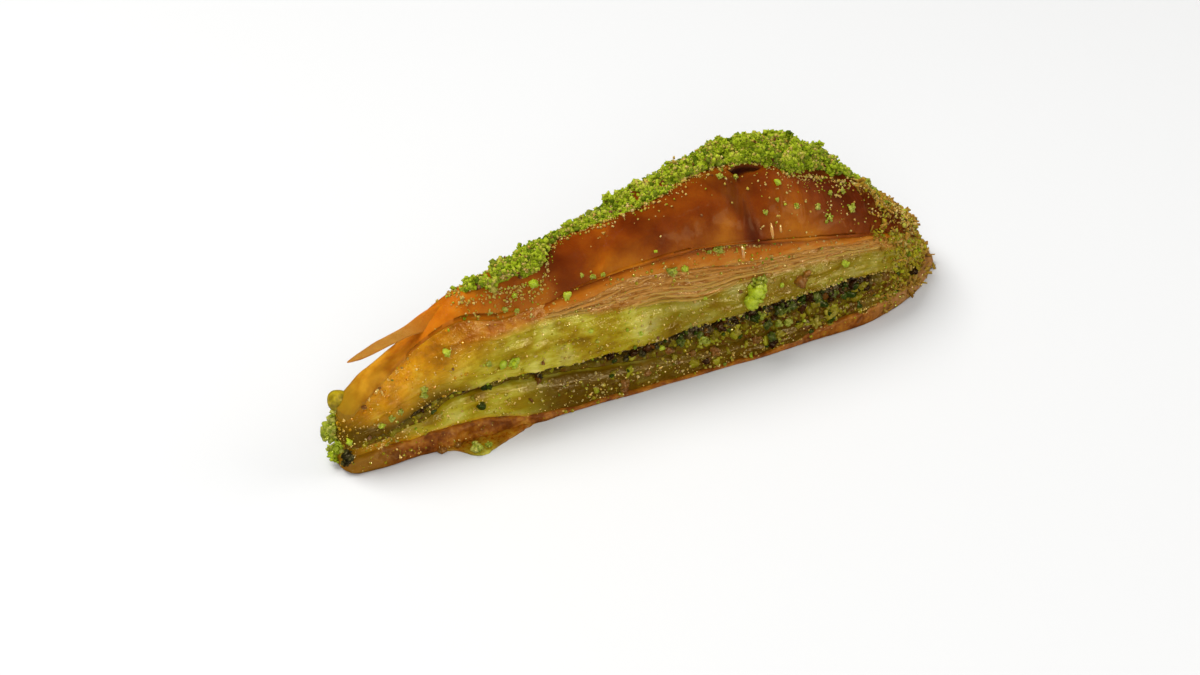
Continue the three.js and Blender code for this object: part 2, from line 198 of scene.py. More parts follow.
def piece(name, points, faces, finish, slot, faceted=False, **fields):
    """An object from points in millimetres from the tip, faces as rows of point numbers, and one number for
    each point in every field. Points that no face uses are dropped."""
    used, corners = np.unique(faces, return_inverse=True)
    mesh = bpy.data.meshes.new(name)
    mesh.vertices.add(len(used))
    mesh.vertices.foreach_set("co", ((points.reshape(-1, 3)[used] + TIP_IN_FRAME) * MM).ravel())
    mesh.loops.add(faces.size)
    mesh.loops.foreach_set("vertex_index", corners.ravel())
    mesh.polygons.add(len(faces))
    mesh.polygons.foreach_set("loop_start", np.arange(0, faces.size, faces.shape[1]))
    mesh.update(calc_edges=True)
    if not faceted:
        mesh.shade_smooth()
    for field, values in fields.items():
        data = mesh.attributes.new(field, "FLOAT", "POINT").data
        data.foreach_set("value", np.ravel(values)[used].astype(np.float32))
    mesh.materials.append(finish.material)
    made = bpy.data.objects.new(name, mesh)
    bpy.context.scene.collection.objects.link(made)
    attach(made, "root")
    return made


def round_piece(name, rings, finish, slot, **fields):
    """A piece from rings round the slice, whose first and last rings close on the middle line."""
    faces = band_faces(len(rings), len(RIM_X), middle_line=(0, -1))
    return piece(name, rings, faces, finish, slot, **fields)


def over_rings(rings, first, values):
    """A field that is zero on every ring but those from first on, which hold values."""
    field = np.zeros(rings.shape[:2])
    field[first : first + len(values)] = values
    return field


def tone(red, green, blue):
    """A colour on the screen, 0 to 255, as the light it stands for, 0 to 1."""
    screen = np.array([red, green, blue]) / 255
    light = np.where(screen < 0.04045, screen / 12.92, ((screen + 0.055) / 1.055) ** 2.4)
    return (*light, 1)


class Wire:
    """One output of a finish's nodes. Arithmetic on it adds Math nodes."""

    def __init__(self, finish, socket):
        self.finish, self.socket = finish, socket

    def math(self, operation, a, b):
        return self.finish.node("Math", {"operation": operation}, {0: a, 1: b})

    def __add__(self, other):
        return self.math("ADD", self, other)

    def __sub__(self, other):
        return self.math("SUBTRACT", self, other)

    def __mul__(self, other):
        return self.math("MULTIPLY", self, other)

    def __truediv__(self, other):
        return self.math("DIVIDE", self, other)

    __radd__, __rmul__ = __add__, __mul__

    def over(self, start, end):
        """0 at start, 1 at end, clamped."""
        settings = {"clamp": True}
        return self.finish.node("MapRange", settings, {0: self, 1: start, 2: end, 3: 0, 4: 1})


class Finish:
    """A material of one Principled shader, whose constants are set on its own sockets."""

    def __init__(self, name, constants):
        self.material = bpy.data.materials.new(name)
        self.material.use_nodes = True
        self.nodes, self.links = self.material.node_tree.nodes, self.material.node_tree.links
        self.shader = self.nodes["Principled BSDF"]
        self.give(self.shader, constants)

    def give(self, node, inputs):
        for name, value in inputs.items():
            if isinstance(value, Wire):
                self.links.new(value.socket, node.inputs[name])
            else:
                node.inputs[name].default_value = value

    def node(self, kind, settings, inputs, output=0):
        """A new node: its settings first, a ramp's stops among them, then its inputs' values or links."""
        node = self.nodes.new("ShaderNode" + kind)
        for name, value in settings.items():
            if name != "stops":
                setattr(node, name, value)
        stops = settings.get("stops", ())
        for at, _ in stops[1:-1]:
            node.color_ramp.elements.new(at)
        for k, (at, colour) in enumerate(stops):
            node.color_ramp.elements[k].position = at
            node.color_ramp.elements[k].color = colour
        self.give(node, inputs)
        return Wire(self, node.outputs[output])

    def place(self):
        """Where a point is, in millimetres."""
        where = self.node("TexCoord", {}, {}, "Object")
        return self.node("VectorMath", {"operation": "SCALE"}, {0: where, "Scale": 1 / MM}, 0)

    def patches(self, size, vector=None, detail=3, rough=0.5):
        """Cloudy noise from 0 to 1, with patches of that size in millimetres."""
        vector = vector or self.place()
        return self.node("TexNoise", {}, {
            "Vector": vector, "Scale": 1 / size, "Detail": detail, "Roughness": rough,
        })

    def field(self, name):
        return self.node("Attribute", {"attribute_name": name}, {}, "Fac")

    def leaf_lines(self, length, thick):
        """Noise drawn out along the leaves, which the field called level counts in millimetres."""
        x, y = (self.node("SeparateXYZ", {}, {0: self.place()}, k) for k in "XY")
        inputs = {"X": x / length, "Y": y / length, "Z": self.field("level") / thick}
        vector = self.node("CombineXYZ", {}, inputs)
        return self.patches(1, vector, detail=2)

    def mix(self, share, a, b):
        settings = {"data_type": "RGBA", "clamp_factor": True}
        return self.node("Mix", settings, {0: share, 6: a, 7: b}, 2)

    def ramp(self, at, *stops):
        """Colours over at. Each stop is its place from 0 to 1 and its red, green and blue on the screen."""
        return self.node("ValToRGB", {"stops": [(place, tone(*rgb)) for place, *rgb in stops]}, {0: at})

    def paint(self, colour, roughness):
        self.give(self.shader, {"Base Color": colour, "Roughness": roughness})

    def dents(self, height, depth):
        """Fine relief: height from 0 to 1 stands for depth, in millimetres."""
        self.give(self.shader, {"Normal": self.node("Bump", {}, {"Height": height, "Distance": depth * MM})})


SYRUP_GLOSS = {
    "Coat Weight": 0.15, "Coat Roughness": 0.15, "Coat IOR": 1.45, "Specular IOR Level": 0.5,
    "Subsurface Weight": 0.25, "Subsurface Radius": (1.0, 0.6, 0.12), "Subsurface Scale": 1.8 * MM,
}


def soaked_finish(name):
    """Wet leaves, blotched along the leaves in olive brown, yellow and cream. They turn amber, toasted, murky
    brown or dry tan where the fields for those are 1; the murky brown is partly syrup stain and partly
    painted shade."""
    finish = Finish(name, SYRUP_GLOSS)
    blotch, lines, fine = finish.leaf_lines(9, 5.5), finish.leaf_lines(7, 1.4), finish.leaf_lines(2.5, 0.4)
    patch, spot, grain = finish.patches(6), finish.patches(1.6), finish.patches(0.5, detail=1)
    even = patch * 0.6 + spot * 0.4
    at = blotch * 0.65 + even * 0.35 + (lines - 0.5) * 0.22 + (fine - 0.5) * 0.14
    wet = finish.ramp(
        at, (0.28, 118, 86, 2), (0.38, 152, 122, 4), (0.46, 166, 144, 16), (0.54, 182, 168, 44),
        (0.64, 206, 196, 88), (0.78, 222, 214, 140),
    )
    amber = finish.ramp(
        even, (0.3, 170, 102, 3), (0.42, 206, 130, 4), (0.56, 224, 156, 10), (0.7, 236, 188, 54),
    )
    toasted = finish.ramp(
        even, (0.3, 132, 64, 1), (0.45, 164, 90, 3), (0.58, 186, 118, 12), (0.72, 202, 144, 42),
    )
    ripple = (lines - 0.5) * 0.3 + (spot - 0.5) * 0.4
    wet = finish.mix((finish.field("amber") + ripple).over(0.05, 0.95), wet, amber)
    brown = finish.patches(8).over(0.56, 0.7) * 0.45
    # Murky brown: partly syrup stain, partly painted shade.
    wet = finish.mix((finish.field("murk") + ripple).over(0.1, 1.1), wet, tone(96, 68, 2))
    wet = finish.mix(brown, wet, tone(128, 88, 8))
    wet = finish.mix((finish.field("toast") + ripple).over(0.05, 0.95), wet, toasted)
    dry = finish.mix((lines + fine).over(0.8, 1.2), tone(146, 88, 20), tone(198, 142, 66))
    colour = finish.mix((finish.field("dry") + ripple).over(0.1, 0.9), wet, dry)
    finish.paint(colour, 0.08 + 0.26 * finish.patches(2.5))
    finish.dents(spot * 0.4 + fine * 0.25 + grain * 0.35, 0.4)
    return finish


def rubble(points):
    """Lumps of a few millimetres that break up the outer end, where the slice tore off the tray's rim."""
    return waves(points, (0.7, 4, 30), (0.5, 1.8, 29), (0.25, 0.9, 28)) * smooth(points[..., 0], *TORN_OFF)


def lower_side():
    """The lower stack's wall: inset by its base, swelling between the leaves' edges, rounded at the top."""
    base, top = along(BASE_THICK, RIM_X), along(LOWER_TOP, RIM_X) - 0.3
    base = np.minimum(base, BASE_SHARE * top)
    share = np.linspace(0, 1, LOWER_ROWS)[:, None]
    z = 0.4 * base + (top - 0.4 * base) * share
    inset = lean(0, RIM_X) + 0.8 + 0.9 * smooth(along(BASE_THICK, RIM_X), 1.5, 5)
    inset = inset - 0.5 * np.sin(np.pi * share)
    inset = inset + 30 * np.clip(share - 0.8, 0, 1) ** 2 * smooth(RIM_X, 2, UPRIGHT_TO)
    points = wall(inset, z)
    rough = 0.5 + 0.5 * smooth(RIM_X, 50, 90)
    swell = waves(points, (0.4, 7, 31), (0.25, (3, 3, 2), 36))
    swell = swell + rough * (0.2 * leaf_streaks(points, z, 8, LOWER_LEAF, 32) + 0.16 * noise(points, 1.7, 37))
    swell = swell + rough * (0.1 * leaf_streaks(points, z, 3, 0.4, 33) + 0.1 * noise(points, 0.9, 34))
    return wall(inset - swell - rubble(points), z + 0.12 * noise(points, 4, 35)), z


lower_wall, lower_z = lower_side()
lower_rings = np.concatenate([
    skin([0, 0.8], 3, lambda x, y: 0.4 + 0 * x), lower_wall,
    skin([0.9, 0.5, 0], 3, lambda x, y: along(LOWER_TOP, x) - 0.3),
])
lower_foot = smooth(lower_z, along(BASE_THICK, RIM_X) + 1.6, along(BASE_THICK, RIM_X) - 0.2)
lower_amber = 0.9 * (1 - smooth(RIM_X, 6, 22)) + 0.5 * lower_foot
# Murky brown along the lower leaves: partly syrup stain, partly painted shade under the filling and the upper
# stack.
lower_murk = along(LOWER_MURK, RIM_X) + 0 * lower_z
lower_leaves = round_piece(
    "soaked_lower_leaves", lower_rings, soaked_finish("soaked lower leaves"), "soaked_leaf",
    level=lower_rings[..., 2], amber=over_rings(lower_rings, 2, lower_amber),
    murk=over_rings(lower_rings, 2, lower_murk), toast=0 * lower_rings[..., 2], dry=0 * lower_rings[..., 2],
)
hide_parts("lower_pastry")

# ---- The base leaves ----
# The lowest leaves, fried brown on the buttered tray and shiny with syrup. They stick out as a soft,
# uneven skirt round the foot of the slice.
BASE_OUT = [  # x, how far the skirt sticks out
    (0, 1), (14, 1.2), (52, 0.9), (120, 0.8), (150, 0.4), (172, 0.3), (192.5, 1.2),
]
BASE_SECTION = [  # how far in, and the share of the thickness, from under the skirt round its edge
    (1.2, 0), (0.75, 0.02), (0.5, 0.12), (0.45, 0.25), (0.5, 0.4), (0.62, 0.55), (0.78, 0.7), (0.98, 0.83),
    (1.25, 0.93), (1.6, 0.99), (2.2, 1.02), (3.2, 1.0), (4.5, 0.9),
]


def rim_at(height=0):
    """The outline's points, all at one height."""
    return np.column_stack([RIM, np.full(len(RIM), height)])


def section_columns(section):
    """The steps of a section as one column of insets and one of heights."""
    return np.array(section, float).T[..., None]


def base_skirt():
    """The skirt's section: flat under, a rounded and crumpled edge, and a top that runs in under the
    stack."""
    out = along(BASE_OUT, RIM_X) * (1 + 0.5 * noise(rim_at(), 9, 41))
    thick = np.minimum(along(BASE_THICK, RIM_X), BASE_SHARE * along(LOWER_TOP, RIM_X))
    thick = thick + 0.35 * noise(rim_at(), 6, 42)
    inset, z = section_columns(BASE_SECTION)
    inset, z = inset - out + lean(0, RIM_X) * 0.5, z * thick
    points = wall(inset, z)
    crumple = waves(
        points, (0.35, (5, 5, 1.6), 43), (0.35, (2, 2, 0.8), 44), (0.25, 1.1, 40), (0.12, 0.6, 39),
    )
    off_dish = smooth(z, 0, 1)
    return wall(inset - crumple * off_dish, np.maximum(z + 0.15 * noise(points, 2.5, 45) * off_dish, 0))


base_rings = np.concatenate([
    skin([0, 0.5], 1.2, lambda x, y: 0 * x), base_skirt(),
    skin([0.5, 0], 5, lambda x, y: 0.5 * along(BASE_THICK, x)),
])
base_finish = Finish("browned base leaf", SYRUP_GLOSS | {"Subsurface Weight": 0.2})
base_cloud, base_fine = base_finish.patches(5), base_finish.patches(1.1)
base_brown = base_finish.ramp(
    base_cloud * 0.6 + base_fine * 0.4,
    (0.3, 84, 36, 1), (0.44, 128, 64, 2), (0.56, 162, 94, 8), (0.7, 190, 130, 34),
)
base_soaked = base_finish.field("soaked") + (base_fine - 0.5) * 0.6
base_brown = base_finish.mix(base_soaked, base_brown, tone(144, 96, 6))
base_end = base_finish.mix(base_fine, tone(140, 84, 28), tone(186, 138, 80))
base_finish.paint(base_finish.mix(base_finish.field("end"), base_brown, base_end), 0.2 + 0.35 * base_fine)
base_finish.dents(base_fine * 0.6 + base_cloud * 0.4, 0.5)
round_piece(
    "browned_base_leaf", base_rings, base_finish, "soaked_leaf",
    end=smooth(base_rings[..., 0], 148, 172), soaked=1 - smooth(base_rings[..., 0], 3, 16),
)

# ---- The squeezed flap ----
# A soaked leaf that the knife pressed out on the near side of the tip: thin, clear amber, flat on the dish,
# with a wavy edge and a puddle of syrup and green crumbs at its corner.
FLAP_EDGE = [  # x, y
    (22, -7.2), (25.5, -9.2), (28.7, -11.5), (30.9, -14.9), (33.5, -16), (37.2, -15.1), (43.7, -13.4),
    (49.9, -12.3), (58.3, -12.7), (66, -12.6), (74, -13.4),
]
PUDDLE = [(33, -16, 1, 5, 4.5)]  # x, y, strength, length, width
FLAP_THICK = 0.9
FLAP_STEPS = 200
FLAP_ACROSS = 40


def bells(x, y, rows):
    """Bell curves added up: each about its x and y, with its rise, length and width."""
    total = 0 * x
    for at_x, at_y, rise, length, width in rows:
        total = total + rise * np.exp(-(((x - at_x) / length) ** 2) - ((y - at_y) / width) ** 2)
    return total


def flap_sheet():
    """The flap from under the slice out to its wavy edge and back: a sheet that thins to a round edge."""
    x = np.linspace(FLAP_EDGE[0][0], FLAP_EDGE[-1][0], FLAP_STEPS)[:, None]
    share = np.linspace(0, 1, FLAP_ACROSS)[None]
    flat = np.concatenate([x, 0 * x, 0 * x], 1)
    edge = along(FLAP_EDGE, x) - waves(flat, (0.35, 3, 46), (0.15, 1.2, 47))[:, None]
    ends = np.sin(np.pi * np.linspace(0, 1, FLAP_STEPS)[:, None]).clip(0, 1) ** 0.3
    root = -half_width(x) + 3.5
    y = root + (edge - root) * share
    top = np.stack([x + 0 * y, y, FLAP_THICK * ends * np.sqrt(1 - share**6)], -1)
    top[..., 2] += waves(top, (0.25, 4, 48), (0.125, 1.4, 49)) * ends * (1 - share**4)
    top[..., 2] = np.maximum(top[..., 2], 0.02)
    under = np.stack([x + 0 * y, y, 0 * y], -1)[:, ::-1]
    return np.concatenate([top, under], 1)


flap_finish = Finish("clear amber leaf", SYRUP_GLOSS | {"Subsurface Weight": 0.5})
flap_cloud, flap_fine = flap_finish.patches(4), flap_finish.patches(0.9)
flap_at = flap_cloud * 0.8 + flap_fine * 0.2
flap_leaf = flap_finish.ramp(flap_at, (0.3, 112, 56, 2), (0.5, 150, 84, 6), (0.7, 180, 130, 24))
flap_syrup = flap_finish.ramp(flap_at, (0.3, 130, 120, 8), (0.5, 160, 148, 20), (0.7, 190, 180, 70))
flap_wet = flap_finish.field("puddle") + (flap_fine - 0.5) * 0.6
flap_finish.paint(flap_finish.mix(flap_wet, flap_leaf, flap_syrup), 0.15 + 0.3 * flap_fine)
flap_finish.dents(flap_fine, 0.25)
flap_points = flap_sheet()
piece(
    "squeezed_flap", flap_points, band_faces(FLAP_STEPS, 2 * FLAP_ACROSS, poles=(0, -1)), flap_finish,
    "soaked_leaf", puddle=bells(flap_points[..., 0], flap_points[..., 1], PUDDLE),
)

# ---- The nut filling ----
# Coarsely chopped pistachios, skins and all, strewn between the two stacks and baked in syrup:
# a dark, wet bed of bits from which single bits stand out at the cut.
UPPER_UNDER = [  # x, height of the upper stack's lower edge
    (0, 9.3), (12, 10.8), (20, 14.2), (30, 15.7), (70, 14), (100, 14.8), (140, 16), (158, 15), (175, 10.5),
    (192.5, 5.6),
]
FILLING_IN = [  # x, how far in the filling stands
    (0, 0.3), (12, 1.2), (20, 1.9), (34, 2.9), (70, 2.6), (100, 1.4), (148, 0.9), (164, -0.4), (192.5, 0),
]
FILLING_DARK = [  # x, how dark its upper part is: partly dark syrupy nuts, partly painted shade under the upper stack
    (0, 0.2), (14, 0.6), (30, 0.7), (52, 0.9), (66, 0.6), (74, 1.1), (92, 1.1), (100, 0.8), (118, 0.6),
    (128, 0.8), (148, 0.7),
]
FILLING_ROWS = 30


def pebbles(points, size, seed):
    """Lumps packed side by side, as the cells round points strewn one to a cube of that size. Gives how far
    each place is from its lump's middle, in sizes, and the lump's own random number."""
    place = points / size
    low = np.floor(place)
    nearest, owner = np.full(place.shape[:-1], 9.0), np.zeros(place.shape[:-1])
    for step in np.ndindex(3, 3, 3):
        cell = low + step - 1
        middle = cell + np.stack([chance(cell, seed + k) for k in range(3)], -1)
        away = np.linalg.norm(place - middle, axis=-1)
        owner = np.where(away < nearest, chance(cell, seed + 3), owner)
        nearest = np.minimum(away, nearest)
    return nearest, owner


def mound(away):
    """A lump's round top over the distance from its middle: a half ball, 1 in the middle."""
    return np.sqrt(np.clip(1 - (away / 0.8) ** 2, 0, 1))


filling_share = np.linspace(0, 1, FILLING_ROWS)[:, None]
filling_floor, filling_roof = along(LOWER_TOP, RIM_X), along(UPPER_UNDER, RIM_X)
filling_z = filling_floor - 0.4 + (filling_roof + 0.9 - filling_floor) * filling_share
filling_inset = lean(along(FILLING_IN, RIM_X) + 1.2 + 2 * smooth(filling_share, 0.55, 1), RIM_X)
filling_inset = filling_inset + 0.6 * noise(wall(filling_inset, filling_z), 5, 56)
filling_away, filling_lump = pebbles(wall(filling_inset, filling_z), 1.6, 51)
filling_fine, _ = pebbles(wall(filling_inset, filling_z), 0.8, 55)
filling_grain = (0.8 * mound(filling_away) + 0.35 * mound(filling_fine)) * smooth(RIM_X, 0, 14)
filling_grain = filling_grain * (0.45 + 0.55 * smooth(filling_share, 0.3, 0.7))
filling_wall = wall(filling_inset - filling_grain, filling_z)
filling_rings = np.concatenate([
    skin([0, 0.8], 3, lambda x, y: along(LOWER_TOP, x) - 0.2), filling_wall,
    skin([0.8, 0], 3, lambda x, y: along(UPPER_UNDER, x) + 0.2),
])
WET_NUT = {
    "Coat Weight": 0.2, "Coat Roughness": 0.08, "Specular IOR Level": 0.8, "Subsurface Weight": 0.1,
    "Subsurface Radius": (1.0, 0.8, 0.3), "Subsurface Scale": 0.8 * MM,
}


def nut_finish(name, colours, constants, roughness, own=0.8, dent=0.35):
    """Chopped nut: each bit's own colour from the field called bit, with the share called own, the rest in
    patches over many bits, blotched inside, with a mealy surface dented by that many millimetres."""
    finish = Finish(name, constants)
    blotch, meal = finish.patches(1.1), finish.patches(0.3, detail=2)
    many = finish.patches(4.5).over(0.34, 0.66)
    at = finish.field("bit") * own + many * (0.8 - own) + blotch * 0.3 - 0.05
    flesh = finish.ramp(at, *((k / (len(colours) - 1), *colour) for k, colour in enumerate(colours)))
    # Painted shade: the flesh is darkened where the mealy surface dips.
    shade = finish.node("Mix", {"data_type": "RGBA", "blend_type": "MULTIPLY"}, {
        0: (meal - 0.35).over(0, 0.4) * -0.5 + 0.5, 6: flesh, 7: tone(150, 140, 110),
    }, 2)
    finish.paint(shade, roughness + 0.25 * meal)
    finish.dents(meal * 0.7 + blotch * 0.3, dent)
    return finish


filling_finish = nut_finish("wet chopped filling", [
    (26, 13, 2), (48, 32, 3), (76, 56, 5), (100, 80, 7), (122, 100, 9), (112, 66, 8), (136, 122, 14),
    (150, 132, 22), (166, 152, 34),
], WET_NUT, 0.07, dent=0.2)
filling_low = 1 - smooth(filling_share, 0.45, 0.8)
filling_dark = along(FILLING_DARK, RIM_X) * smooth(filling_share, 0.15, 0.5)
filling_shut = smooth(RIM_X, 150, 164) + 1 - smooth(RIM_X, 0, 12)
# The bed darkens towards its top and along the dark stretches: partly dark syrupy nuts, partly painted shade
# under the overhanging upper stack.
filling_tint = 0.3 * filling_lump * (1 - 0.8 * smooth(filling_share, 0.5, 0.8))
filling_tint = filling_tint + 0.42 * filling_low * (1 - 0.8 * filling_dark)
filling_tint = filling_tint * (1 - filling_shut) + filling_shut * (0.6 + 0.35 * filling_lump)
filling = round_piece(
    "nut_filling_bed", filling_rings, filling_finish, "soaked_nut",
    bit=over_rings(filling_rings, 2, filling_tint),
)
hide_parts("nut_filling")

# ---- The upper leaves ----
# A taller stack of leaves. Syrup has risen into the lower ones, which are swollen, moist and yellow-green
# from the nuts; above them the leaves are baked amber. Its lower edge hangs in scallops over the nuts.
SOAK_LINE = [  # x, height up to which the leaves are soaked
    (0, 13), (16, 18.6), (30, 25), (40, 29), (88, 28.6), (103, 25.4), (145, 24.4), (160, 21.6), (172, 17),
    (192.5, 6.6),
]
LIP = [  # x, height of the top leaf's edge
    (0, 15.6), (16, 26.6), (32, 35), (46, 32.6), (70, 37.2), (96, 39.1), (120, 35.4), (145, 30.3), (168, 23),
    (184, 12.6), (192.5, 7.6),
]
SECOND_EDGE = [  # x, height of the second leaf's lower edge
    (0, 10), (16, 20), (32, 28), (50, 31), (65, 32.2), (73, 33.6), (80, 35), (87, 34.7), (96, 33.4),
    (107, 31.4), (120, 29.6), (132, 28.7), (144, 27.6), (157, 25), (172, 18.6), (192.5, 7),
]
LEDGE_LINE = [(0, 11), (8, 14.4), (16, 17.7), (24, 19.9), (35, 20.5), (41, 19.6), (60, 19)]
BAND_LINE = [(0, 14), (10, 22.5), (23, 30.1), (34, 29.7), (47, 29), (63, 28.6), (80, 28)]
TOAST_LINE = [(0, 15.4), (8, 21.5), (20, 27), (30, 29.4), (42, 30), (60, 30.2), *SOAK_LINE[4:]]
UPPER_STAIN = [(24, 18, 0.6, 8, 4)]  # a darker spot of painted shade: x, height, strength, length, width
SOAK_IN, LIP_IN = 2.2, 4.9  # how far in the side stands at those two heights
UPPER_ROWS = 74


def upper_inset(x, z):
    """How far the upper stack's side stands in at height z: rounded under, a belly in the soaked leaves, then
    leaning in towards the lip."""
    under, soak, lip = along(UPPER_UNDER, x), along(SOAK_LINE, x), along(LIP, x)
    low, high = np.clip((z - under) / (soak - under), 0, 1), np.clip((z - soak) / (lip - soak), 0, 1)
    belly = 0.3 + (SOAK_IN - 0.3) * low**2.2 + (LIP_IN - SOAK_IN) * high
    return lean(belly + 1.7 * smooth(x, 2, 24) * np.clip(1 - (z - under) / 1.5, 0, 1) ** 2, x)


def step_over(z, line, reach, seed):
    """A leaf's edge as a soft step: nothing below its wavy line, reach above it, over 0.6 mm."""
    line = along(line, RIM_X) + waves(rim_at(seed), (0.5, 8, seed), (0.25, 2.5, seed + 1))
    return reach * smooth(z, line - 0.3, line + 0.3)


def upper_side():
    """The upper stack's wall, row by row from its scalloped lower edge to under the top leaf's lip."""
    under, soak, lip = along(UPPER_UNDER, RIM_X), along(SOAK_LINE, RIM_X), along(LIP, RIM_X)
    scallop = waves(rim_at(), (0.8, 4.5, 61), (0.55, 1.9, 62), (0.3, 0.9, 60))
    share = np.linspace(0, 1, UPPER_ROWS)[:, None]
    z = under + (lip - under) * share
    low, high = np.clip((z - under) / (soak - under), 0, 1), np.clip((z - soak) / (lip - soak), 0, 1)
    level = 13 * low + 10 * high
    inset = upper_inset(RIM_X, z)
    points = wall(inset, z)
    rough = 0.6 + 0.4 * smooth(RIM_X, 20, 60)
    swell = waves(points, (0.5, (12, 12, 6), 63), (0.28, (4, 4, 2.2), 68))
    swell = swell + 0.45 * leaf_streaks(points, level, 24, 2.6, 611) * (1 - smooth(RIM_X, 30, 70))
    swell = swell + rough * (0.2 * leaf_streaks(points, level, 9, 1.5, 64) + 0.16 * noise(points, 1.8, 69))
    swell = swell + rough * (0.12 * leaf_streaks(points, level, 3.5, 0.6, 65) + 0.08 * noise(points, 0.9, 66))
    pit, kind = pebbles(points, 2.3, 67)
    swell = swell - 0.5 * np.exp(-((pit / 0.2) ** 2)) * (kind > 0.6) * rough
    tip = smooth(RIM_X, 4, 14) * (1 - smooth(RIM_X, 40, 54))
    swell = swell * smooth(RIM_X, -6, 14) + step_over(z, LEDGE_LINE, 0.5 * tip, 610)
    swell = swell + step_over(z, BAND_LINE, 0.5 * smooth(RIM_X, 16, 24) * (1 - smooth(RIM_X, 52, 66)), 620)
    swell = swell + rubble(points)
    cover = along(SECOND_EDGE, RIM_X)
    covered = smooth(z, cover - 0.2, cover + 1) * smooth(RIM_X, 50, 66)
    swell = swell * (1 - covered) - 0.1 * covered
    fade = 1 - smooth(share, 0.75, 1) * (1 - smooth(RIM_X, 20, 36))
    return wall(inset - swell * fade, z + scallop * (1 - share) ** 6), z, level


upper_wall, upper_z, upper_level = upper_side()
upper_rings = np.concatenate([
    skin([0, 0.8], 3, lambda x, y: along(UPPER_UNDER, x)), upper_wall,
    skin([0.9, 0.5, 0], LIP_IN + 0.6, lambda x, y: along(LIP, x) - 0.3),
])
upper_tip = 1 - smooth(RIM_X - 1.2 * (upper_z - 20), 8, 42)
crisp_dip = smooth(RIM_X, 60, 74) * (1 - smooth(RIM_X, 96, 112))
upper_line = along(TOAST_LINE, RIM_X) - 2 * crisp_dip
upper_baked = smooth(upper_z, upper_line - 1.2 - 3.5 * upper_tip, upper_line + 1.2)
puffed_from = smooth(RIM_X, 56, 70)
upper_foot = 1.6 + 3 * (1 - smooth(RIM_X, 28, 44))
# Murky brown on the upper leaves: darker towards their lower edge over the nuts and low on the side near the
# tip; painted shade in the gaps between the puffed leaves beyond x 76, at the front of the tip and in one
# darker spot.
upper_murk = 0.8 * (1 - smooth(upper_z - along(UPPER_UNDER, RIM_X), -0.4, upper_foot))
upper_murk = upper_murk + 0.62 * smooth(RIM_X, 76, 94) + 0.55 * (1 - smooth(RIM_X, 2, 12))
upper_murk = upper_murk + 0.6 * (1 - smooth(RIM_X, 8, 26)) * (1 - smooth(upper_z, 11, 20))
upper_murk = upper_murk + bells(RIM_X, upper_z, UPPER_STAIN)
upper_fields = {
    "level": upper_level, "toast": upper_baked * (1 - puffed_from) * (0.1 + 0.9 * smooth(RIM_X, 20, 38)),
    "amber": upper_tip, "murk": upper_murk, "dry": upper_baked * puffed_from,
}
upper_leaves = round_piece(
    "soaked_upper_leaves", upper_rings, soaked_finish("soaked upper leaves"), "baked_leaf",
    **{field: over_rings(upper_rings, 2, values) for field, values in upper_fields.items()},
)
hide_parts("upper_pastry")

# ---- The parted leaves ----
# Above the soaked ones the leaves have puffed apart in the oven. Their cut edges show one by one, thin,
# wavy and crisp, tan in the middle of the slice and glued together by syrup towards the tip.
THIN_LEAVES = 7
THIN = 0.5  # thickness of a leaf
LOWEST_BACK = 0.3  # how much farther in the lowest leaf ends; half of that for the next one
THIN_SECTION = [(1.6, -0.7), (0.5, -0.6), (0.1, -0.45), (0, 0), (0.1, 0.45), (0.5, 0.6), (1.6, 0.7)]


def leaf_edge(z, reach, seed):
    """One leaf's edge round the slice: a thin tongue that comes out of the stack by reach, ends round, and
    rises and falls in small waves."""
    rim = rim_at(seed)
    z = z + waves(rim, (0.5, 13, seed), (0.18, 3.4, seed + 1), (0.07, 1, seed + 2))
    out = waves(rim, (0.7, 12, seed + 3), (0.25, 3, seed + 4), (0.14, 0.8, seed + 5))
    reach = np.where(reach > -0.4, reach + out, reach)
    inset, rise = section_columns(THIN_SECTION)
    return wall(upper_inset(RIM_X, z) - reach + inset, z + THIN * rise)


thin_parts, thin_level = [], []
parting = 0.15 * smooth(RIM_X, 50, 66) - 2 * (1 - smooth(RIM_X, 44, 54))
thin_from, thin_to = along(SOAK_LINE, RIM_X) - 0.4 - 2 * crisp_dip, along(SECOND_EDGE, RIM_X)
for k in range(THIN_LEAVES):
    z = thin_from + (thin_to - thin_from) * (k + 0.3) / THIN_LEAVES
    thin_parts.append(leaf_edge(z, parting - LOWEST_BACK * max(0, 1 - k / 2), 100 + 10 * k))
    thin_level.append(np.full(thin_parts[-1].shape[:2], k / (THIN_LEAVES - 1)))
thin_count = thin_parts[0].shape[0] * thin_parts[0].shape[1]
thin_faces = band_faces(len(thin_parts[0]), len(RIM_X), loop=True)
parted_finish = Finish("parted leaves", SYRUP_GLOSS | {"Subsurface Weight": 0.3, "Specular IOR Level": 0.4})
parted_cloud, parted_fine = parted_finish.patches(6), parted_finish.patches(0.8)
parted_streak = parted_finish.leaf_lines(9, 0.12)
parted_at = parted_finish.field("level") * 0.5 + parted_cloud * 0.5 - 0.05 + (parted_fine - 0.5) * 0.2
parted_at = parted_at + (parted_streak - 0.5) * 0.5
parted_tan = parted_finish.ramp(
    parted_at, (0.1, 160, 132, 40), (0.35, 188, 146, 66), (0.6, 188, 132, 56), (0.9, 176, 104, 28),
)
parted_finish.paint(parted_tan, 0.4 + 0.3 * parted_fine)
parted_finish.dents(parted_fine, 0.3)
piece(
    "parted_leaves", np.concatenate([part.reshape(-1, 3) for part in thin_parts]),
    np.concatenate([thin_faces + k * thin_count for k in range(THIN_LEAVES)]), parted_finish, "baked_leaf",
    level=np.concatenate([part.ravel() for part in thin_level]),
)

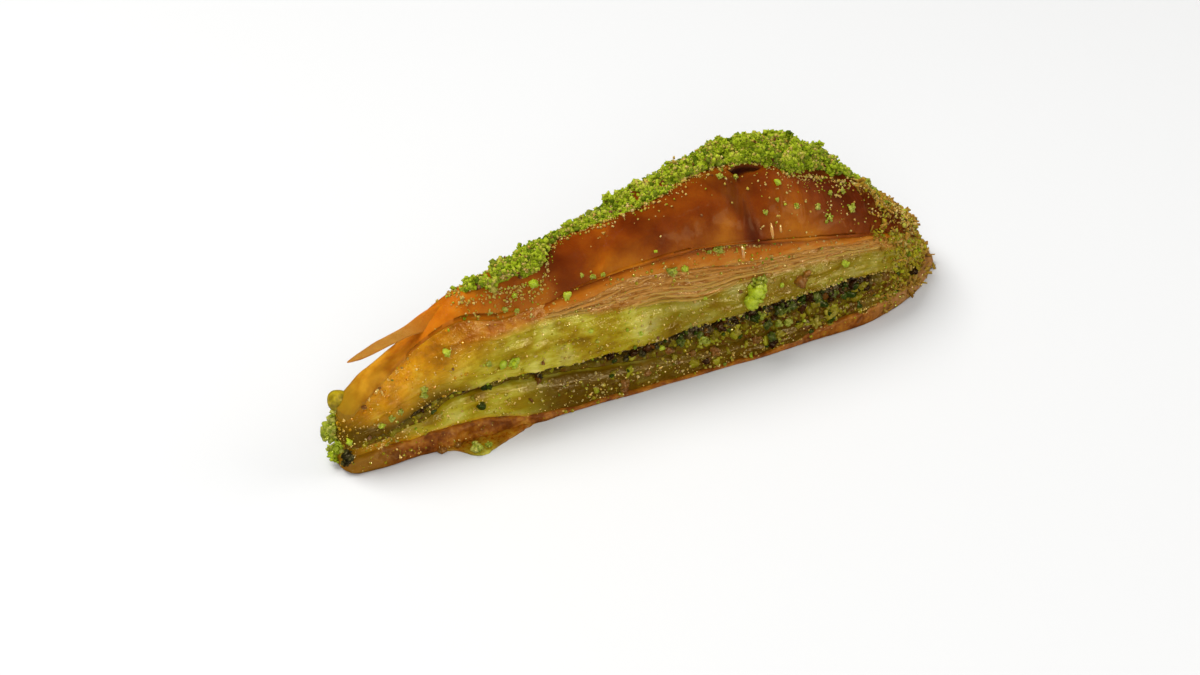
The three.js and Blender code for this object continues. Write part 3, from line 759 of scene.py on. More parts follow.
# ---- The second leaf ----
# The leaf under the puffed one is stuck to it along the lip and stands out below as a glossy band,
# orange above and tan along its lower edge.
SECOND_OUT = [(0, -2.5), (40, -2.5), (56, 0.1), (75, 0.6), (150, 0.5), (178, 0.2), (192.5, -0.4)]
SECOND_ROWS = 16


def second_band():
    """A leaf's outer face: a round lower edge, a face that follows the stack's side and sinks back into it at
    the top, and a back inside the stack. Where its reach is below zero the whole leaf hides in the stack."""
    wave = waves(rim_at(3), (0.4, 9, 220), (0.25, 2.8, 221), (0.1, 1, 222))
    low, high, out = along(SECOND_EDGE, RIM_X) + wave, along(LIP, RIM_X) - 0.3, along(SECOND_OUT, RIM_X)
    low = np.minimum(low, high - 0.5)
    share = np.linspace(0, 1, SECOND_ROWS)[:, None]
    face_z = low + 0.3 + (high - low - 0.3) * share
    face_in = upper_inset(RIM_X, face_z) - out * np.where(out > 0, 1 - 1.1 * share**3, 1)
    foot = upper_inset(RIM_X, low) - out
    inset = np.vstack([foot + 3, foot + 0.8, foot + 0.25, face_in, face_in[-1] + 0.9, face_in[-1] + 3])
    z = np.vstack([low + 0.5, low - 0.05, low + 0.03, face_z, high + 0.1, high])
    points = wall(inset, z)
    swell = waves(points, (0.35, (8, 8, 5), 223), (0.16, (2.2, 2.2, 1.4), 224))
    swell = (swell + 0.1 * leaf_streaks(points, z, 6, 0.7, 225)) * (z > low) * (out > -1)
    share = np.vstack([0 * RIM_X, 0 * RIM_X, 0 * RIM_X, share + 0 * RIM_X, 1 + 0 * RIM_X, 1 + 0 * RIM_X])
    return wall(inset - swell, z), share


second_rings, second_share = second_band()
second_finish = Finish("amber leaf", SYRUP_GLOSS | {"Subsurface Weight": 0.3, "Specular IOR Level": 0.25})
second_cloud, second_fine = second_finish.patches(7), second_finish.patches(1.8)
second_up = second_finish.field("share")
second_at = second_cloud * 0.45 + second_fine * 0.25 + 0.2 - second_up * 0.3
second_at = second_at + second_finish.leaf_lines(11, 1.3) * 0.25
second_amber = second_finish.ramp(
    second_at, (0.2, 132, 56, 1), (0.4, 174, 90, 3), (0.54, 182, 102, 9), (0.75, 194, 130, 46),
)
# Painted shade: the band darkens towards its top, under the lap of the top leaf.
second_colour = second_finish.mix(second_up.over(0.5, 0.95), second_amber, tone(106, 40, 1))
second_finish.paint(second_colour, 0.2 + 0.3 * second_fine)
second_finish.dents(second_fine * 0.6 + second_cloud * 0.4, 0.4)
piece(
    "second_leaf", second_rings, band_faces(len(second_rings), len(RIM_X), loop=True), second_finish,
    "baked_leaf", share=second_share, level=second_rings[..., 2],
)

# ---- The puffed top leaf ----
# The top leaf, brushed with butter, has blown up into a dome in the oven and browned to caramel. It is
# blistered, dented, creased and mirror-glossy, and its edge laps over the leaf below.
CREST = [  # x, height of the dome's middle line
    (0, 17.2), (9, 25.4), (22, 32), (32, 38), (42, 41.3), (80, 46.4), (118, 52.4), (136, 49), (150, 43.2),
    (168, 28.2), (184, 14.8), (192.5, 8.2),
]
TOP_EDGE = [(1.6, -1.0), (0.4, -0.9), (0.08, -0.65), (0, -0.3), (0, 0)]  # its section, in thicknesses
DOME_IN = 4.1
DOME_POWER, DOME_ROOT = 2.3, 1.55  # the powers of width and height in its section, a rounded oval
DOME_ROWS = 64
BLISTERS = [  # x, y, rise, length, width
    (119, -12, -1.6, 3, 9), (109, -13, 0.9, 6, 6), (131, -12, 0.8, 6, 7), (87, -10, 1.9, 10, 7),
    (71, -9, -1.2, 3, 7), (62, -8, -0.7, 5, 5), (48, -5, 0.7, 6, 4), (150, -13, -0.7, 5, 6),
    (66, 8, -0.9, 6, 5), (92, 11, 1, 8, 7), (112, 14, -1.2, 5, 8), (134, 13, 0.9, 8, 7),
    (152, 12, -0.8, 5, 6),
]
CREASES = [  # from x, y to x, y, rise, width
    (112, -15, 119, -5, -1.1, 1.8), (79, -3.5, 71, -10, -0.7, 1.6), (153.5, -6, 155, -15, 1.1, 0.7),
    (114.5, -16, 116, -12.5, 0.5, 0.6), (126, -18, 127.5, -13, 0.4, 0.7), (55, -3, 49, -7, -0.5, 1.3),
    (140, 5, 137, 16, -0.8, 1.6), (84, 3, 80, 12, -0.7, 1.5), (100, 4, 103, 14, 0.6, 1),
]
HEAP_NEAR = [  # the crumb heap's near edge on the dome: x, y
    (37, -2.6), (45, -3.4), (52, -5), (59, -4.8), (63.5, 0.6), (70, 2), (78, 0.8), (90, -1.5), (100, -1),
    (112, 0), (119, -1.8), (127, -5), (133, -8.8), (140, -9.5), (155, -8.5), (168, -4),
]
DOME_TINT = [  # x, how light its brown is: partly its own browning, partly painted light on the lobes' lit sides and painted shade in its grooves
    (44, 0.75), (54, 0.5), (60, 0.35), (66, 0.16), (71, 0.45), (77, 0.68), (83, 0.52), (89, 0.36),
    (95, 0.5), (103, 0.45), (111, 0.42), (114.8, 0), (118.5, 0.4), (122, 0.5), (131, 0.5), (142, 0.35),
    (155, 0.2), (192.5, 0.3),
]
GLOWS = [  # x, y, how much lighter as painted highlight, below zero darker as painted shade, length, width
    (79, -1, 0.4, 3, 3), (119, -7, -0.35, 6, 4), (110, -14, 0.2, 3, 2), (92, -9, -0.1, 6, 5),
    (131, -13, 0.2, 7, 4), (150, -10, -0.25, 6, 6), (57, -6, 0.25, 4, 3),
]
TEAR = (116.5, 126.5)  # where the top leaf has split along the heap's near edge


def torn(x, y):
    """1 in the tear, a narrow lens along the heap, and 0 outside it."""
    ends = smooth(x, TEAR[0], TEAR[0] + 4) * (1 - smooth(x, TEAR[1] - 3, TEAR[1]))
    return np.exp(-(((y - along(HEAP_NEAR, x) + 1.6) / (0.2 + 1.2 * ends)) ** 4)) * smooth(ends, 0, 0.3)


def creased(x, y):
    """Soft ridges and grooves: each a bell curve across its line, which fades past the line's ends."""
    total = 0 * x
    for from_x, from_y, to_x, to_y, rise, width in CREASES:
        run = np.hypot(to_x - from_x, to_y - from_y)
        ahead = ((x - from_x) * (to_x - from_x) + (y - from_y) * (to_y - from_y)) / run
        aside = ((x - from_x) * (to_y - from_y) - (y - from_y) * (to_x - from_x)) / run
        past = np.maximum(np.abs(ahead - run / 2) - run / 2, 0)
        total = total + rise * np.exp(-((aside / width) ** 2) - (past / 2) ** 2)
    return total


def top_height(x, y):
    """The dome's height: from the lip to the crest over a rounded section, with its blisters as soft bumps
    and its creases."""
    half = np.maximum(half_width(x) - lean(DOME_IN, x), 0.5)
    fullness = (1 - np.minimum(np.abs(y) / half, 1) ** DOME_POWER) ** (1 / DOME_ROOT)
    z = along(LIP, x) + (along(CREST, x) - along(LIP, x)) * fullness
    return z + (bells(x, y, BLISTERS) + creased(x, y)) * np.minimum(1, 2 * fullness)


def facing(rings):
    """The way each point of a set of rings faces: square to the ring's run and to the way up its rows."""
    out = np.cross(np.roll(rings, -1, 1) - np.roll(rings, 1, 1), np.gradient(rings, axis=0))
    return out / np.maximum(np.linalg.norm(out, axis=-1, keepdims=True), 1e-9)


def top_leaf():
    """The dome from under its edge, round the edge, and up in arcs to the middle line."""
    wave = waves(rim_at(), (0.35, 10, 71), (0.2, 3, 72), (0.08, 1.1, 73))
    lip = along(LIP, RIM_X)
    loose = smooth(RIM_X, 20, 56)
    thick = 0.1 + 0.8 * loose
    edge_in = lean(DOME_IN - 0.5 * smooth(RIM_X, 60, 80) + (LIP_IN - DOME_IN) * (1 - loose), RIM_X)
    in_by, down_by = section_columns(TOP_EDGE)
    rows = wall(edge_in + in_by * thick, lip + thick * down_by)
    arc = np.linspace(0, np.pi / 2, DOME_ROWS + 1)[1:, None]
    dome = skin(np.cos(arc) ** (2 / DOME_POWER), edge_in, top_height)
    under = skin([0, 0.8], DOME_IN + 1.5, lambda x, y: along(LIP, x) - 0.2)
    rings = np.concatenate([under, rows, dome])
    rise = np.clip((rings[..., 2] - lip) / np.maximum(along(CREST, rings[..., 0]) - lip, 1), 0, 1)
    sheet = waves(
        rings, (0.5, (14, 12, 12), 74), (0.28, 5, 75), (0.1, 2.7, 80), (0.06, 1.6, 77), (0.03, 0.7, 78),
    )
    fold = 1 - np.abs(noise(rings, (4, 14, 14), 76))
    folded = smooth(rings[..., 0], 100, 125) * (1 - smooth(rings[..., 0], 158, 172))
    sheet = sheet + 0.3 * (fold**4 - 0.3) * folded
    moving = np.ones(rings.shape[:2])
    moving[:2] = 0
    moving = moving * np.maximum(smooth(RIM_X, 20, 40), smooth(rise, 0, 0.4) * smooth(RIM_X, -8, 14))
    rings = rings + facing(rings) * (sheet * moving)[..., None]
    edge_rows = len(TOP_EDGE) + 4
    rings[2 : 2 + edge_rows, :, 2] += wave * loose * np.linspace(1, 0, edge_rows)[:, None]
    rings[-1, :, 1] = 0
    rings[-1] = (rings[-1] + rings[-1][-np.arange(len(RIM_X)) % len(RIM_X)]) / 2
    return rings, rise


top_rings, top_rise = top_leaf()
CARAMEL = {
    "Coat Weight": 0.3, "Coat Roughness": 0.12, "Coat IOR": 1.45, "Specular IOR Level": 0.2,
    "Subsurface Weight": 0.15, "Subsurface Radius": (1.0, 0.4, 0.08), "Subsurface Scale": 2 * MM,
}
top_finish = Finish("caramelised top leaf", CARAMEL)
top_cloud, top_fine, top_speck = top_finish.patches(20), top_finish.patches(4), top_finish.patches(0.8)
# Painted light and shade: the lightness along the dome brightens the lobes' lit sides and darkens the
# grooves, and the brown darkens towards the crest, partly deeper browning and partly painted shade.
top_at = top_finish.field("tint") * 0.5 + top_cloud * 0.35 + top_fine * 0.2 - top_finish.field("rise") * 0.22
top_brown = top_finish.ramp(
    top_at, (0.2, 88, 30, 1), (0.36, 118, 48, 1), (0.5, 148, 74, 2), (0.68, 190, 114, 10),
)
top_amber = top_finish.ramp(
    top_cloud * 0.5 + top_fine * 0.5, (0.3, 158, 74, 2), (0.5, 188, 104, 7), (0.7, 206, 134, 28),
)
top_gold = top_finish.mix(top_fine.over(0.35, 0.65), tone(164, 104, 6), tone(204, 146, 30))
# Painted shade: the gold turns olive at the very front of the tip.
top_gold = top_finish.mix(top_finish.field("dusk"), top_gold, tone(134, 106, 14))
top_amber = top_finish.mix(top_finish.field("gold"), top_amber, top_gold)
top_colour = top_finish.mix(top_finish.field("amber") + (top_cloud - 0.5) * 0.9, top_brown, top_amber)
# Painted shade: the tear is coloured near-black red-brown, the shade inside the split.
top_colour = top_finish.mix(top_finish.field("tear"), top_colour, tone(40, 8, 2))
top_finish.paint(top_colour, 0.34 + 0.16 * top_fine)
top_finish.dents(top_speck * 0.4 + top_fine * 0.6, 0.25)
top_x, top_y = top_rings[..., 0], top_rings[..., 1]
top_tear = torn(top_x, top_y)
# The lightness along the dome, with painted light on its lobes and painted shade in its grooves.
top_tint = along(DOME_TINT, top_x + 0.5 * (top_y + 12) + 1.6 * noise(top_rings, 9, 79))
round_piece(
    "puffed_top_leaf", top_rings - facing(top_rings) * top_tear[..., None], top_finish, "baked_leaf",
    rise=top_rise, amber=1 - smooth(top_x, 28, 58), gold=1 - smooth(top_x, 8, 26), tear=top_tear,
    dusk=0.8 * (1 - smooth(top_x, 2, 9)), tint=top_tint + bells(top_x, top_y, GLOWS),
)

# ---- The dry strip ----
# A sliver of the top leaf that the knife has lifted: it reaches out stiff over the tip, dry and clear as
# amber, with a darker upper edge.
STRIP = [  # x, near y, near z, far y, far z
    (4.4, -1.1, 31.6, 0.4, 31.5), (7.5, -1.8, 31.9, 0.9, 32), (12, -1.8, 32.5, 1, 33.2),
    (17, -1.8, 33.3, 1, 34.4), (22, -1.9, 33.7, 1, 35.6), (26.5, -2.1, 33.4, 1.2, 37.2),
    (30, -2.3, 33.4, 1.4, 37.9), (36, -2, 34, 1.2, 38), (50, -1.2, 35, 1, 37),
]
STRIP_THICK = 0.7
STRIP_STEPS = 130
STRIP_ROUND = 24
strip_x = np.linspace(STRIP[0][0], STRIP[-1][0], STRIP_STEPS)
near, far = (
    np.column_stack([strip_x] + [along([(row[0], row[k]) for row in STRIP], strip_x) for k in pair])
    for pair in ((1, 2), (3, 4))
)
strip_turn = np.linspace(0, 2 * np.pi, STRIP_ROUND, endpoint=False)
strip_end = np.sqrt(1 - (1 - np.minimum(np.linspace(0, 12, STRIP_STEPS), 1)) ** 2)[:, None, None]
strip_side = (near - far)[:, None] / 2
strip_face = np.cross(strip_side, (1, 0, 0))
strip_face = strip_face / np.linalg.norm(strip_face, axis=-1, keepdims=True) * STRIP_THICK / 2
strip_over, strip_up = np.cos(strip_turn)[:, None], np.sin(strip_turn)[:, None]
strip_section = strip_side * strip_over + strip_face * np.sign(strip_up) * np.abs(strip_up) ** 0.6
strip_points = (near + far)[:, None] / 2 + strip_section * strip_end
strip_points = strip_points + 0.25 * strip_end * noise(strip_points, (5, 2, 2), 81)[..., None]
strip_finish = Finish("dry amber leaf", CARAMEL | {"Subsurface Weight": 0.4, "Coat Weight": 0.5})
strip_lines = strip_finish.patches(2.5)
strip_colour = strip_finish.mix(strip_lines, tone(146, 92, 20), tone(176, 130, 56))
strip_colour = strip_finish.mix(strip_finish.field("root"), strip_colour, tone(186, 104, 8))
strip_finish.paint(strip_colour, 0.25 + 0.2 * strip_lines)
strip_finish.dents(strip_finish.patches(0.8), 0.2)
piece(
    "dry_strip", strip_points, band_faces(STRIP_STEPS, STRIP_ROUND, poles=(0, -1)), strip_finish,
    "baked_leaf", root=smooth(strip_points[..., 0], 18, 31),
)

# ---- The crumb heap ----
# Pistachios chopped to a meal and heaped along the crest by hand: the bed is the meal itself, packed in
# small lumps, and single crumbs of every size lie loose on it.
HEAP_TO = 168
HEAP_THICK = [  # x, thickness of the bed
    (37, 0.6), (44, 2), (53, 1.4), (64, 0.35), (80, 0.25), (100, 0.25), (112, 0.9), (120, 1.9), (135, 2.1),
    (150, 1.5), (160, 0.4), (168, 0.2),
]
HEAP_FAR = [(37, 3.5), (70, 7), (110, 11), (140, 12), (160, 9), (168, 5)]
HEAP_KNOBS = [(1.8, 3.6, 85), (1.1, 1.9, 87), (0.5, 0.9, 88)]  # knobs on its lumps: height, size, seed
HEAP_SUNK = 3.1  # taken off the relief, so that the lumps add no height on the whole
HEAP_STEPS = 760
HEAP_ACROSS = 64
HEAP_UNDER = 20


def heap_bed():
    """The bed: over the dome from the heap's far edge to its near one, lumpy on top, and back inside the top
    leaf. Both ends narrow to a point."""
    x = np.linspace(HEAP_FROM, HEAP_TO, HEAP_STEPS)[:, None]
    ends = np.sin(np.pi * np.linspace(0, 1, HEAP_STEPS)[:, None]).clip(0, 1) ** 0.25
    flat = np.concatenate([x, 0 * x, 0 * x], 1)
    near_y, far_y = (
        along(edge, x) + waves(flat + (0, aside, 0), (1.1, 6, 91), (0.77, 2.4, 92), (0.385, 1.1, 90))[:, None]
        for edge, aside in ((HEAP_NEAR, 0), (HEAP_FAR, 40))
    )
    middle, reach = (far_y + near_y) / 2, (far_y - near_y) / 2

    def across(count):
        return middle + reach * ends * np.linspace(1, -1, count)[None]

    y = across(HEAP_ACROSS)
    on_top = top_height(x, y)
    v = np.linspace(1, -1, HEAP_ACROSS)[None]
    thick = along(HEAP_THICK, x) * np.clip(1 - np.abs(v) ** 2.2, 0, 1) ** 0.6 * ends
    top = np.stack([x + 0 * y, y, on_top + thick], -1)
    clump, _ = pebbles(top, 5, 86)
    _, lump = pebbles(top, 1.1, 93)
    relief = 4 * mound(clump) + waves(top, (0.6, 7, 99), (0.2, 0.5, 89))
    for height, size, seed in HEAP_KNOBS:
        relief = relief + height * np.abs(noise(top, size, seed))
    top[..., 2] += (relief - HEAP_SUNK) * np.minimum(1, (0.4 + thick) * smooth(thick, 0, 0.2))
    y = across(HEAP_UNDER)
    under = np.stack([x + 0 * y, y, top_height(x, y) - 0.7], -1)[:, ::-1]
    return np.concatenate([top, under], 1), np.concatenate([lump, 0 * y], 1)


heap_points, heap_lump = heap_bed()
DRY_NUT = {
    "Subsurface Weight": 0.15, "Subsurface Radius": (0.7, 1.0, 0.15), "Subsurface Scale": 0.7 * MM,
    "Specular IOR Level": 0.15,
}
GREENS = [
    (70, 84, 5), (104, 122, 12), (134, 152, 20), (160, 180, 30), (186, 200, 52), (198, 176, 86),
    (220, 216, 122),
]
meal_finish = nut_finish("pistachio meal", GREENS, DRY_NUT, 0.55, 0.4)
heap_bed_piece = piece(
    "crumb_bed", heap_points, band_faces(HEAP_STEPS, HEAP_ACROSS + HEAP_UNDER, poles=(0, -1)), meal_finish,
    "nut_crumb", bit=heap_lump,
)
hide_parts("crumb_heap")


def boxy_ball(cuts):
    """A ball's corners and triangles, from a cube whose edges are cut that many times."""
    made = bmesh.new()
    bmesh.ops.create_cube(made, size=2)
    if cuts:
        bmesh.ops.subdivide_edges(made, edges=made.edges, cuts=cuts, use_grid_fill=True)
    bmesh.ops.triangulate(made, faces=made.faces)
    corners = np.array([corner.co.normalized() for corner in made.verts])
    faces = np.array([[corner.index for corner in face.verts] for face in made.faces])
    made.free()
    return corners, faces


def strew(grid, count, density, draw, wrap=True, more=()):
    """Random places on a grid of points: its cells are drawn by area times density(middle, facing, *more),
    and each place lies at random in its cell. Gives the places and the way they face."""
    if wrap:
        grid = np.concatenate([grid, grid[:, :1]], 1)
    a, b, c, d = grid[:-1, :-1], grid[:-1, 1:], grid[1:, 1:], grid[1:, :-1]
    out = np.cross(c - a, d - b)
    area = np.linalg.norm(out, axis=-1, keepdims=True)
    out = out / np.maximum(area, 1e-9)
    weight = (area[..., 0] * density((a + b + c + d) / 4, out, *more)).ravel()
    cell = draw.choice(weight.size, count, p=weight / weight.sum())
    s, t = draw.random((2, count, 1))
    a, b, c, d, out = (corner.reshape(-1, 3)[cell] for corner in (a, b, c, d, out))
    return (a * (1 - s) + b * s) * (1 - t) + (d * (1 - s) + c * s) * t, out


def chopped(places, out, sizes, draw, cuts=1, lift=0.25, stretch=(1, 1, 1), dented=0.3, lumpy=0.2):
    """Chopped bits: balls pulled towards boxes, dented, stretched by chance and turned every way, each
    sitting on its place with its middle lifted by that share of its size."""
    corners, faces = boxy_ball(cuts)
    count = len(places)
    turn = draw.normal(size=(count, 4))
    w, i, j, k = (turn / np.linalg.norm(turn, axis=1, keepdims=True)).T
    turned = np.array([
        [1 - 2 * (j * j + k * k), 2 * (i * j - k * w), 2 * (i * k + j * w)],
        [2 * (i * j + k * w), 1 - 2 * (i * i + k * k), 2 * (j * k - i * w)],
        [2 * (i * k - j * w), 2 * (j * k + i * w), 1 - 2 * (i * i + j * j)],
    ]).transpose(2, 0, 1)
    power = draw.uniform(2, 6, (count, 1, 1))
    body = corners / (np.abs(corners) ** power).sum(-1, keepdims=True) ** (1 / power)
    body = body * draw.uniform(1 - dented, 1 + dented / 2, (count, len(corners), 1))
    own = corners + 9 * np.arange(count)[:, None, None]
    body = body * (1 + lumpy * noise(own, 0.9, 3))[..., None]
    body = body * draw.uniform(0.5, 1.15, (count, 1, 3)) * stretch
    body = np.einsum("nij,nvj->nvi", turned, body) * sizes[:, None, None] / 2
    points = body + (places + out * (sizes * lift)[:, None])[:, None]
    numbers = faces + np.arange(count)[:, None, None] * len(corners)
    points[..., 2] = np.maximum(points[..., 2], 0)
    return points.reshape(-1, 3), numbers.reshape(-1, 3), np.repeat(draw.random(count), len(corners))


def strewn_piece(name, sets, finish, slot, faceted=True):
    """One piece of several sets of bits, joined by counting their points on; each bit has its own number in
    the field called bit."""
    starts = np.cumsum([0] + [len(points) for points, _, _ in sets])
    return piece(
        name, np.concatenate([points for points, _, _ in sets]),
        np.concatenate([faces + start for (_, faces, _), start in zip(sets, starts)]), finish, slot, faceted,
        bit=np.concatenate([number for _, _, number in sets]),
    )


def strewn_sets(places, counts, least, most, power, draw, more=(), **shape):
    """Sets of bits, one for each (grid, density, wrap) of the places. Sizes go from least to most by that
    power of a random number, so that small ones are common; shape goes on to chopped."""
    sets = []
    for count, (grid, density, wrap) in zip(counts, places):
        if count:
            at, out = strew(grid, count, density, draw, wrap, more)
            sizes = least + (most - least) * draw.random(count) ** power
            sets.append(chopped(at, out, sizes, draw, **shape))
    return sets


def beyond_heap(middle):
    """How far a place on the dome lies from the heap, in millimetres across the slice; 0 under it."""
    x, y = middle[..., 0], middle[..., 1]
    aside = np.maximum(along(HEAP_NEAR, x) - y, y - along(HEAP_FAR, x))
    return np.maximum(aside, 0) + np.maximum(HEAP_FROM - x, 0)


def clumping(middle, size, seed):
    """Crumbs keep together: many near the middles of a third of the cells of that size, few between."""
    away, owner = pebbles(middle, size, seed)
    return 0.12 + 4 * np.exp(-((away / 0.22) ** 2)) * (owner < 0.35)


def on_dome(middle, out):
    """Crumbs that fell off the heap: fewer and fewer away from it, many on the outer end, in clumps."""
    x, away = middle[..., 0], beyond_heap(middle)
    far = 0.8 * smooth(x, 112, 132) + 0.5 * (1 - smooth(x, 50, 62)) + 0.05
    fall = 2 * np.exp(-away / 1.1) + clumping(middle, 3.2, 131) * np.exp(-away / 14) * far
    fall = (fall + 0.5 * smooth(x, 158, 172)) * (1 - torn(x, middle[..., 1]))
    return fall * (away > 0) * smooth(x, 20, 36) * (out[..., 2] > -0.1)


def on_heap(middle, out):
    """Crumbs on the heap: everywhere on its top."""
    return (out[..., 2] > -0.2) * 1.0


def on_side(middle, out):
    """Crumbs stuck to the cut side: in patches, more of them beyond the middle of the slice, and thick on the
    outer end."""
    x = middle[..., 0]
    patchy = (smooth(noise(middle, (9, 9, 2), 132), -0.1, 0.7) + 0.12) * (0.4 + clumping(middle, 2.4, 134))
    on_roof = np.exp(-(((middle[..., 2] - along(UPPER_UNDER, x) - 1) / 0.9) ** 2)) * smooth(x, 16, 34)
    patchy = patchy + 1.2 * on_roof
    return patchy * (0.3 + 0.5 * smooth(x, 50, 110)) + 1.4 * smooth(x, 160, 174)


bright_finish = nut_finish("bright pistachio crumbs", GREENS[1:], DRY_NUT, 0.5, 0.45)
deep_finish = nut_finish("deep green pistachio crumbs", [
    (60, 76, 8), (88, 108, 14), (116, 136, 26), (136, 146, 46), (152, 134, 64),
], DRY_NUT, 0.5, 0.5)
skin_finish = nut_finish("brown pistachio skins", [
    (84, 40, 20), (120, 70, 34), (150, 104, 70), (128, 90, 40),
], DRY_NUT, 0.5)
golden_finish = nut_finish("syrupy meal", [
    (192, 140, 54), (218, 174, 90), (194, 170, 56), (236, 206, 132), (180, 158, 56),
], DRY_NUT, 0.45)
heap_draw = np.random.default_rng(11)
heap_top = heap_points[:, :HEAP_ACROSS]
dome_rows = top_rings[6:]
side_rows = np.concatenate([upper_wall[2:], second_rings[3:-2]])
STREWN = {  # finish, how many on the heap, the dome, the upper side and the lower side, least and most size
    "bright_crumbs": (bright_finish, (1500, 60, 90, 40), 0.6, 1.7),
    "deep_green_crumbs": (deep_finish, (1200, 30, 50, 30), 0.6, 1.8),
    "brown_skins": (skin_finish, (420, 20, 40, 25), 0.4, 1.2),
    "fine_meal": (bright_finish, (10000, 700, 400, 200), 0.25, 0.75),
    "golden_meal": (golden_finish, (1800, 3400, 2800, 1500), 0.25, 0.95),
}
STREWN_ON = [
    (heap_top, on_heap, False), (dome_rows, on_dome, True), (side_rows, on_side, True),
    (lower_wall[4:], on_side, True),
]
for name, (finish, counts, least, most) in STREWN.items():
    sets = strewn_sets(STREWN_ON, counts, least, most, 1.8, heap_draw, cuts=0)
    strewn_piece(name, sets, finish, "nut_crumb")

# ---- The outer end ----
# Where the slice was torn off the tray's rim it ends in loose meal and in flakes of leaf, which lie all over
# its last centimetres, from the top leaf down to the base.


def on_end(middle, out):
    """All over the outer end, more and less in patches."""
    x = middle[..., 0]
    return smooth(x, 152, 170) * (smooth(noise(middle, 4, 133), -0.6, 0.6) + 0.2)


end_meal = nut_finish("meal on the outer end", [
    (140, 124, 14), (176, 158, 26), (196, 176, 44), (180, 180, 30), (214, 198, 104),
], DRY_NUT, 0.5)
end_flake = nut_finish("flaked leaf on the outer end", [
    (130, 90, 20), (172, 124, 40), (196, 146, 60), (184, 150, 44), (218, 180, 110),
], DRY_NUT, 0.5)
ENDS = {  # how many on the dome, the upper side, the filling, the lower side and the base, sizes, stretch
    "outer_end_meal": (end_meal, (350, 1100, 260, 220, 0), 0.35, 1.6, (1, 1, 1)),
    "outer_end_flakes": (end_flake, (700, 420, 80, 400, 160), 0.8, 2.2, (1.7, 0.6, 0.4)),
}
END_ROWS = [dome_rows, side_rows, filling_wall[2:-2], lower_wall[4:], base_rings[5:14]]
ENDS_ON = [(rows, on_end, True) for rows in END_ROWS]
for name, (finish, counts, least, most, stretch) in ENDS.items():
    sets = strewn_sets(ENDS_ON, counts, least, most, 2, heap_draw, cuts=0, lift=0.3, stretch=stretch)
    strewn_piece(name, sets, finish, "nut_crumb")

# ---- The bits in the cut ----
# Where the knife went through the filling, chopped nuts stand out of it and have dropped on to the leaves
# below: dark with syrup, green, olive and brown, all of them shiny.
DARK_SPOTS = [  # x, how dark the filling is there: dark bits gather there, partly as painted shade
    (30, 0.3), (52, 1), (60, 0.3), (74, 0.5), (80, 1), (90, 1), (98, 0.3), (116, 0.3), (128, 0.7), (150, 0.6),
]
BITS = {  # colours, how many in the filling and below it, least and most size, lift, share in the dark spots
    "syrup_dark_bits": (
        [(22, 8, 3), (42, 16, 5), (70, 34, 8), (88, 48, 14)], (190, 12), 0.6, 2.6, 0.1, 1),
    "deep_green_bits": (
        [(30, 40, 6), (52, 72, 9), (84, 100, 14)], (120, 24), 0.8, 3.2, 0.1, 0.8),
    "olive_bits": (
        [(96, 80, 8), (130, 114, 10), (154, 140, 18), (112, 74, 12)], (260, 100), 0.8, 2.8, -0.25, -1.5),
    "red_brown_bits": (
        [(86, 42, 4), (118, 70, 10), (112, 84, 16)], (150, 60), 0.7, 2.2, -0.1, 0.3),
    "yellow_bits": (
        [(150, 140, 14), (170, 166, 30), (176, 150, 30)], (100, 60), 0.8, 2.8, -0.2, -0.5),
}


def in_filling(middle, out, dark):
    """All along the filling but at its closed ends. Dark bits keep to the dark spots and under the roof,
    where their darkness is partly painted shade, and bits whose dark is below zero keep out of them."""
    x = middle[..., 0]
    high = (middle[..., 2] - along(LOWER_TOP, x)) / (along(UPPER_UNDER, x) - along(LOWER_TOP, x))
    where = 1 - dark + dark * along(DARK_SPOTS, x) * smooth(high, 0.2, 0.7)
    if dark <= 0:
        where = where * (1 - 0.9 * smooth(high, 0.5, 0.8))
    return where * (0.6 + smooth(x, 80, 110)) * smooth(x, 4, 16) * (1 - 0.95 * smooth(x, 150, 162))


def below_filling(middle, out, dark):
    """On the lower leaves under the filling, in patches, and mostly beyond the middle of the slice."""
    x = middle[..., 0]
    high = smooth(middle[..., 2] / along(LOWER_TOP, x), 0.1, 0.9)
    patchy = smooth(noise(middle, 7, 141), -0.2, 0.6) + 0.15
    return high * patchy * (0.15 + smooth(x, 60, 90)) * (1 - dark + dark * along(DARK_SPOTS, x))


bit_draw = np.random.default_rng(12)
BITS_ON = [(filling_wall[2:-2], in_filling, True), (lower_wall[8:], below_filling, True)]
for name, (colours, counts, least, most, lift, dark) in BITS.items():
    sets = strewn_sets(
        BITS_ON, counts, least, most, 1.7, bit_draw, (dark,), cuts=2, lift=lift, dented=0.15, lumpy=0.55,
    )
    finish = nut_finish(name.replace("_", " "), colours, WET_NUT, 0.07, 0.5, 0.2)
    strewn_piece(name, sets, finish, "soaked_nut", False)

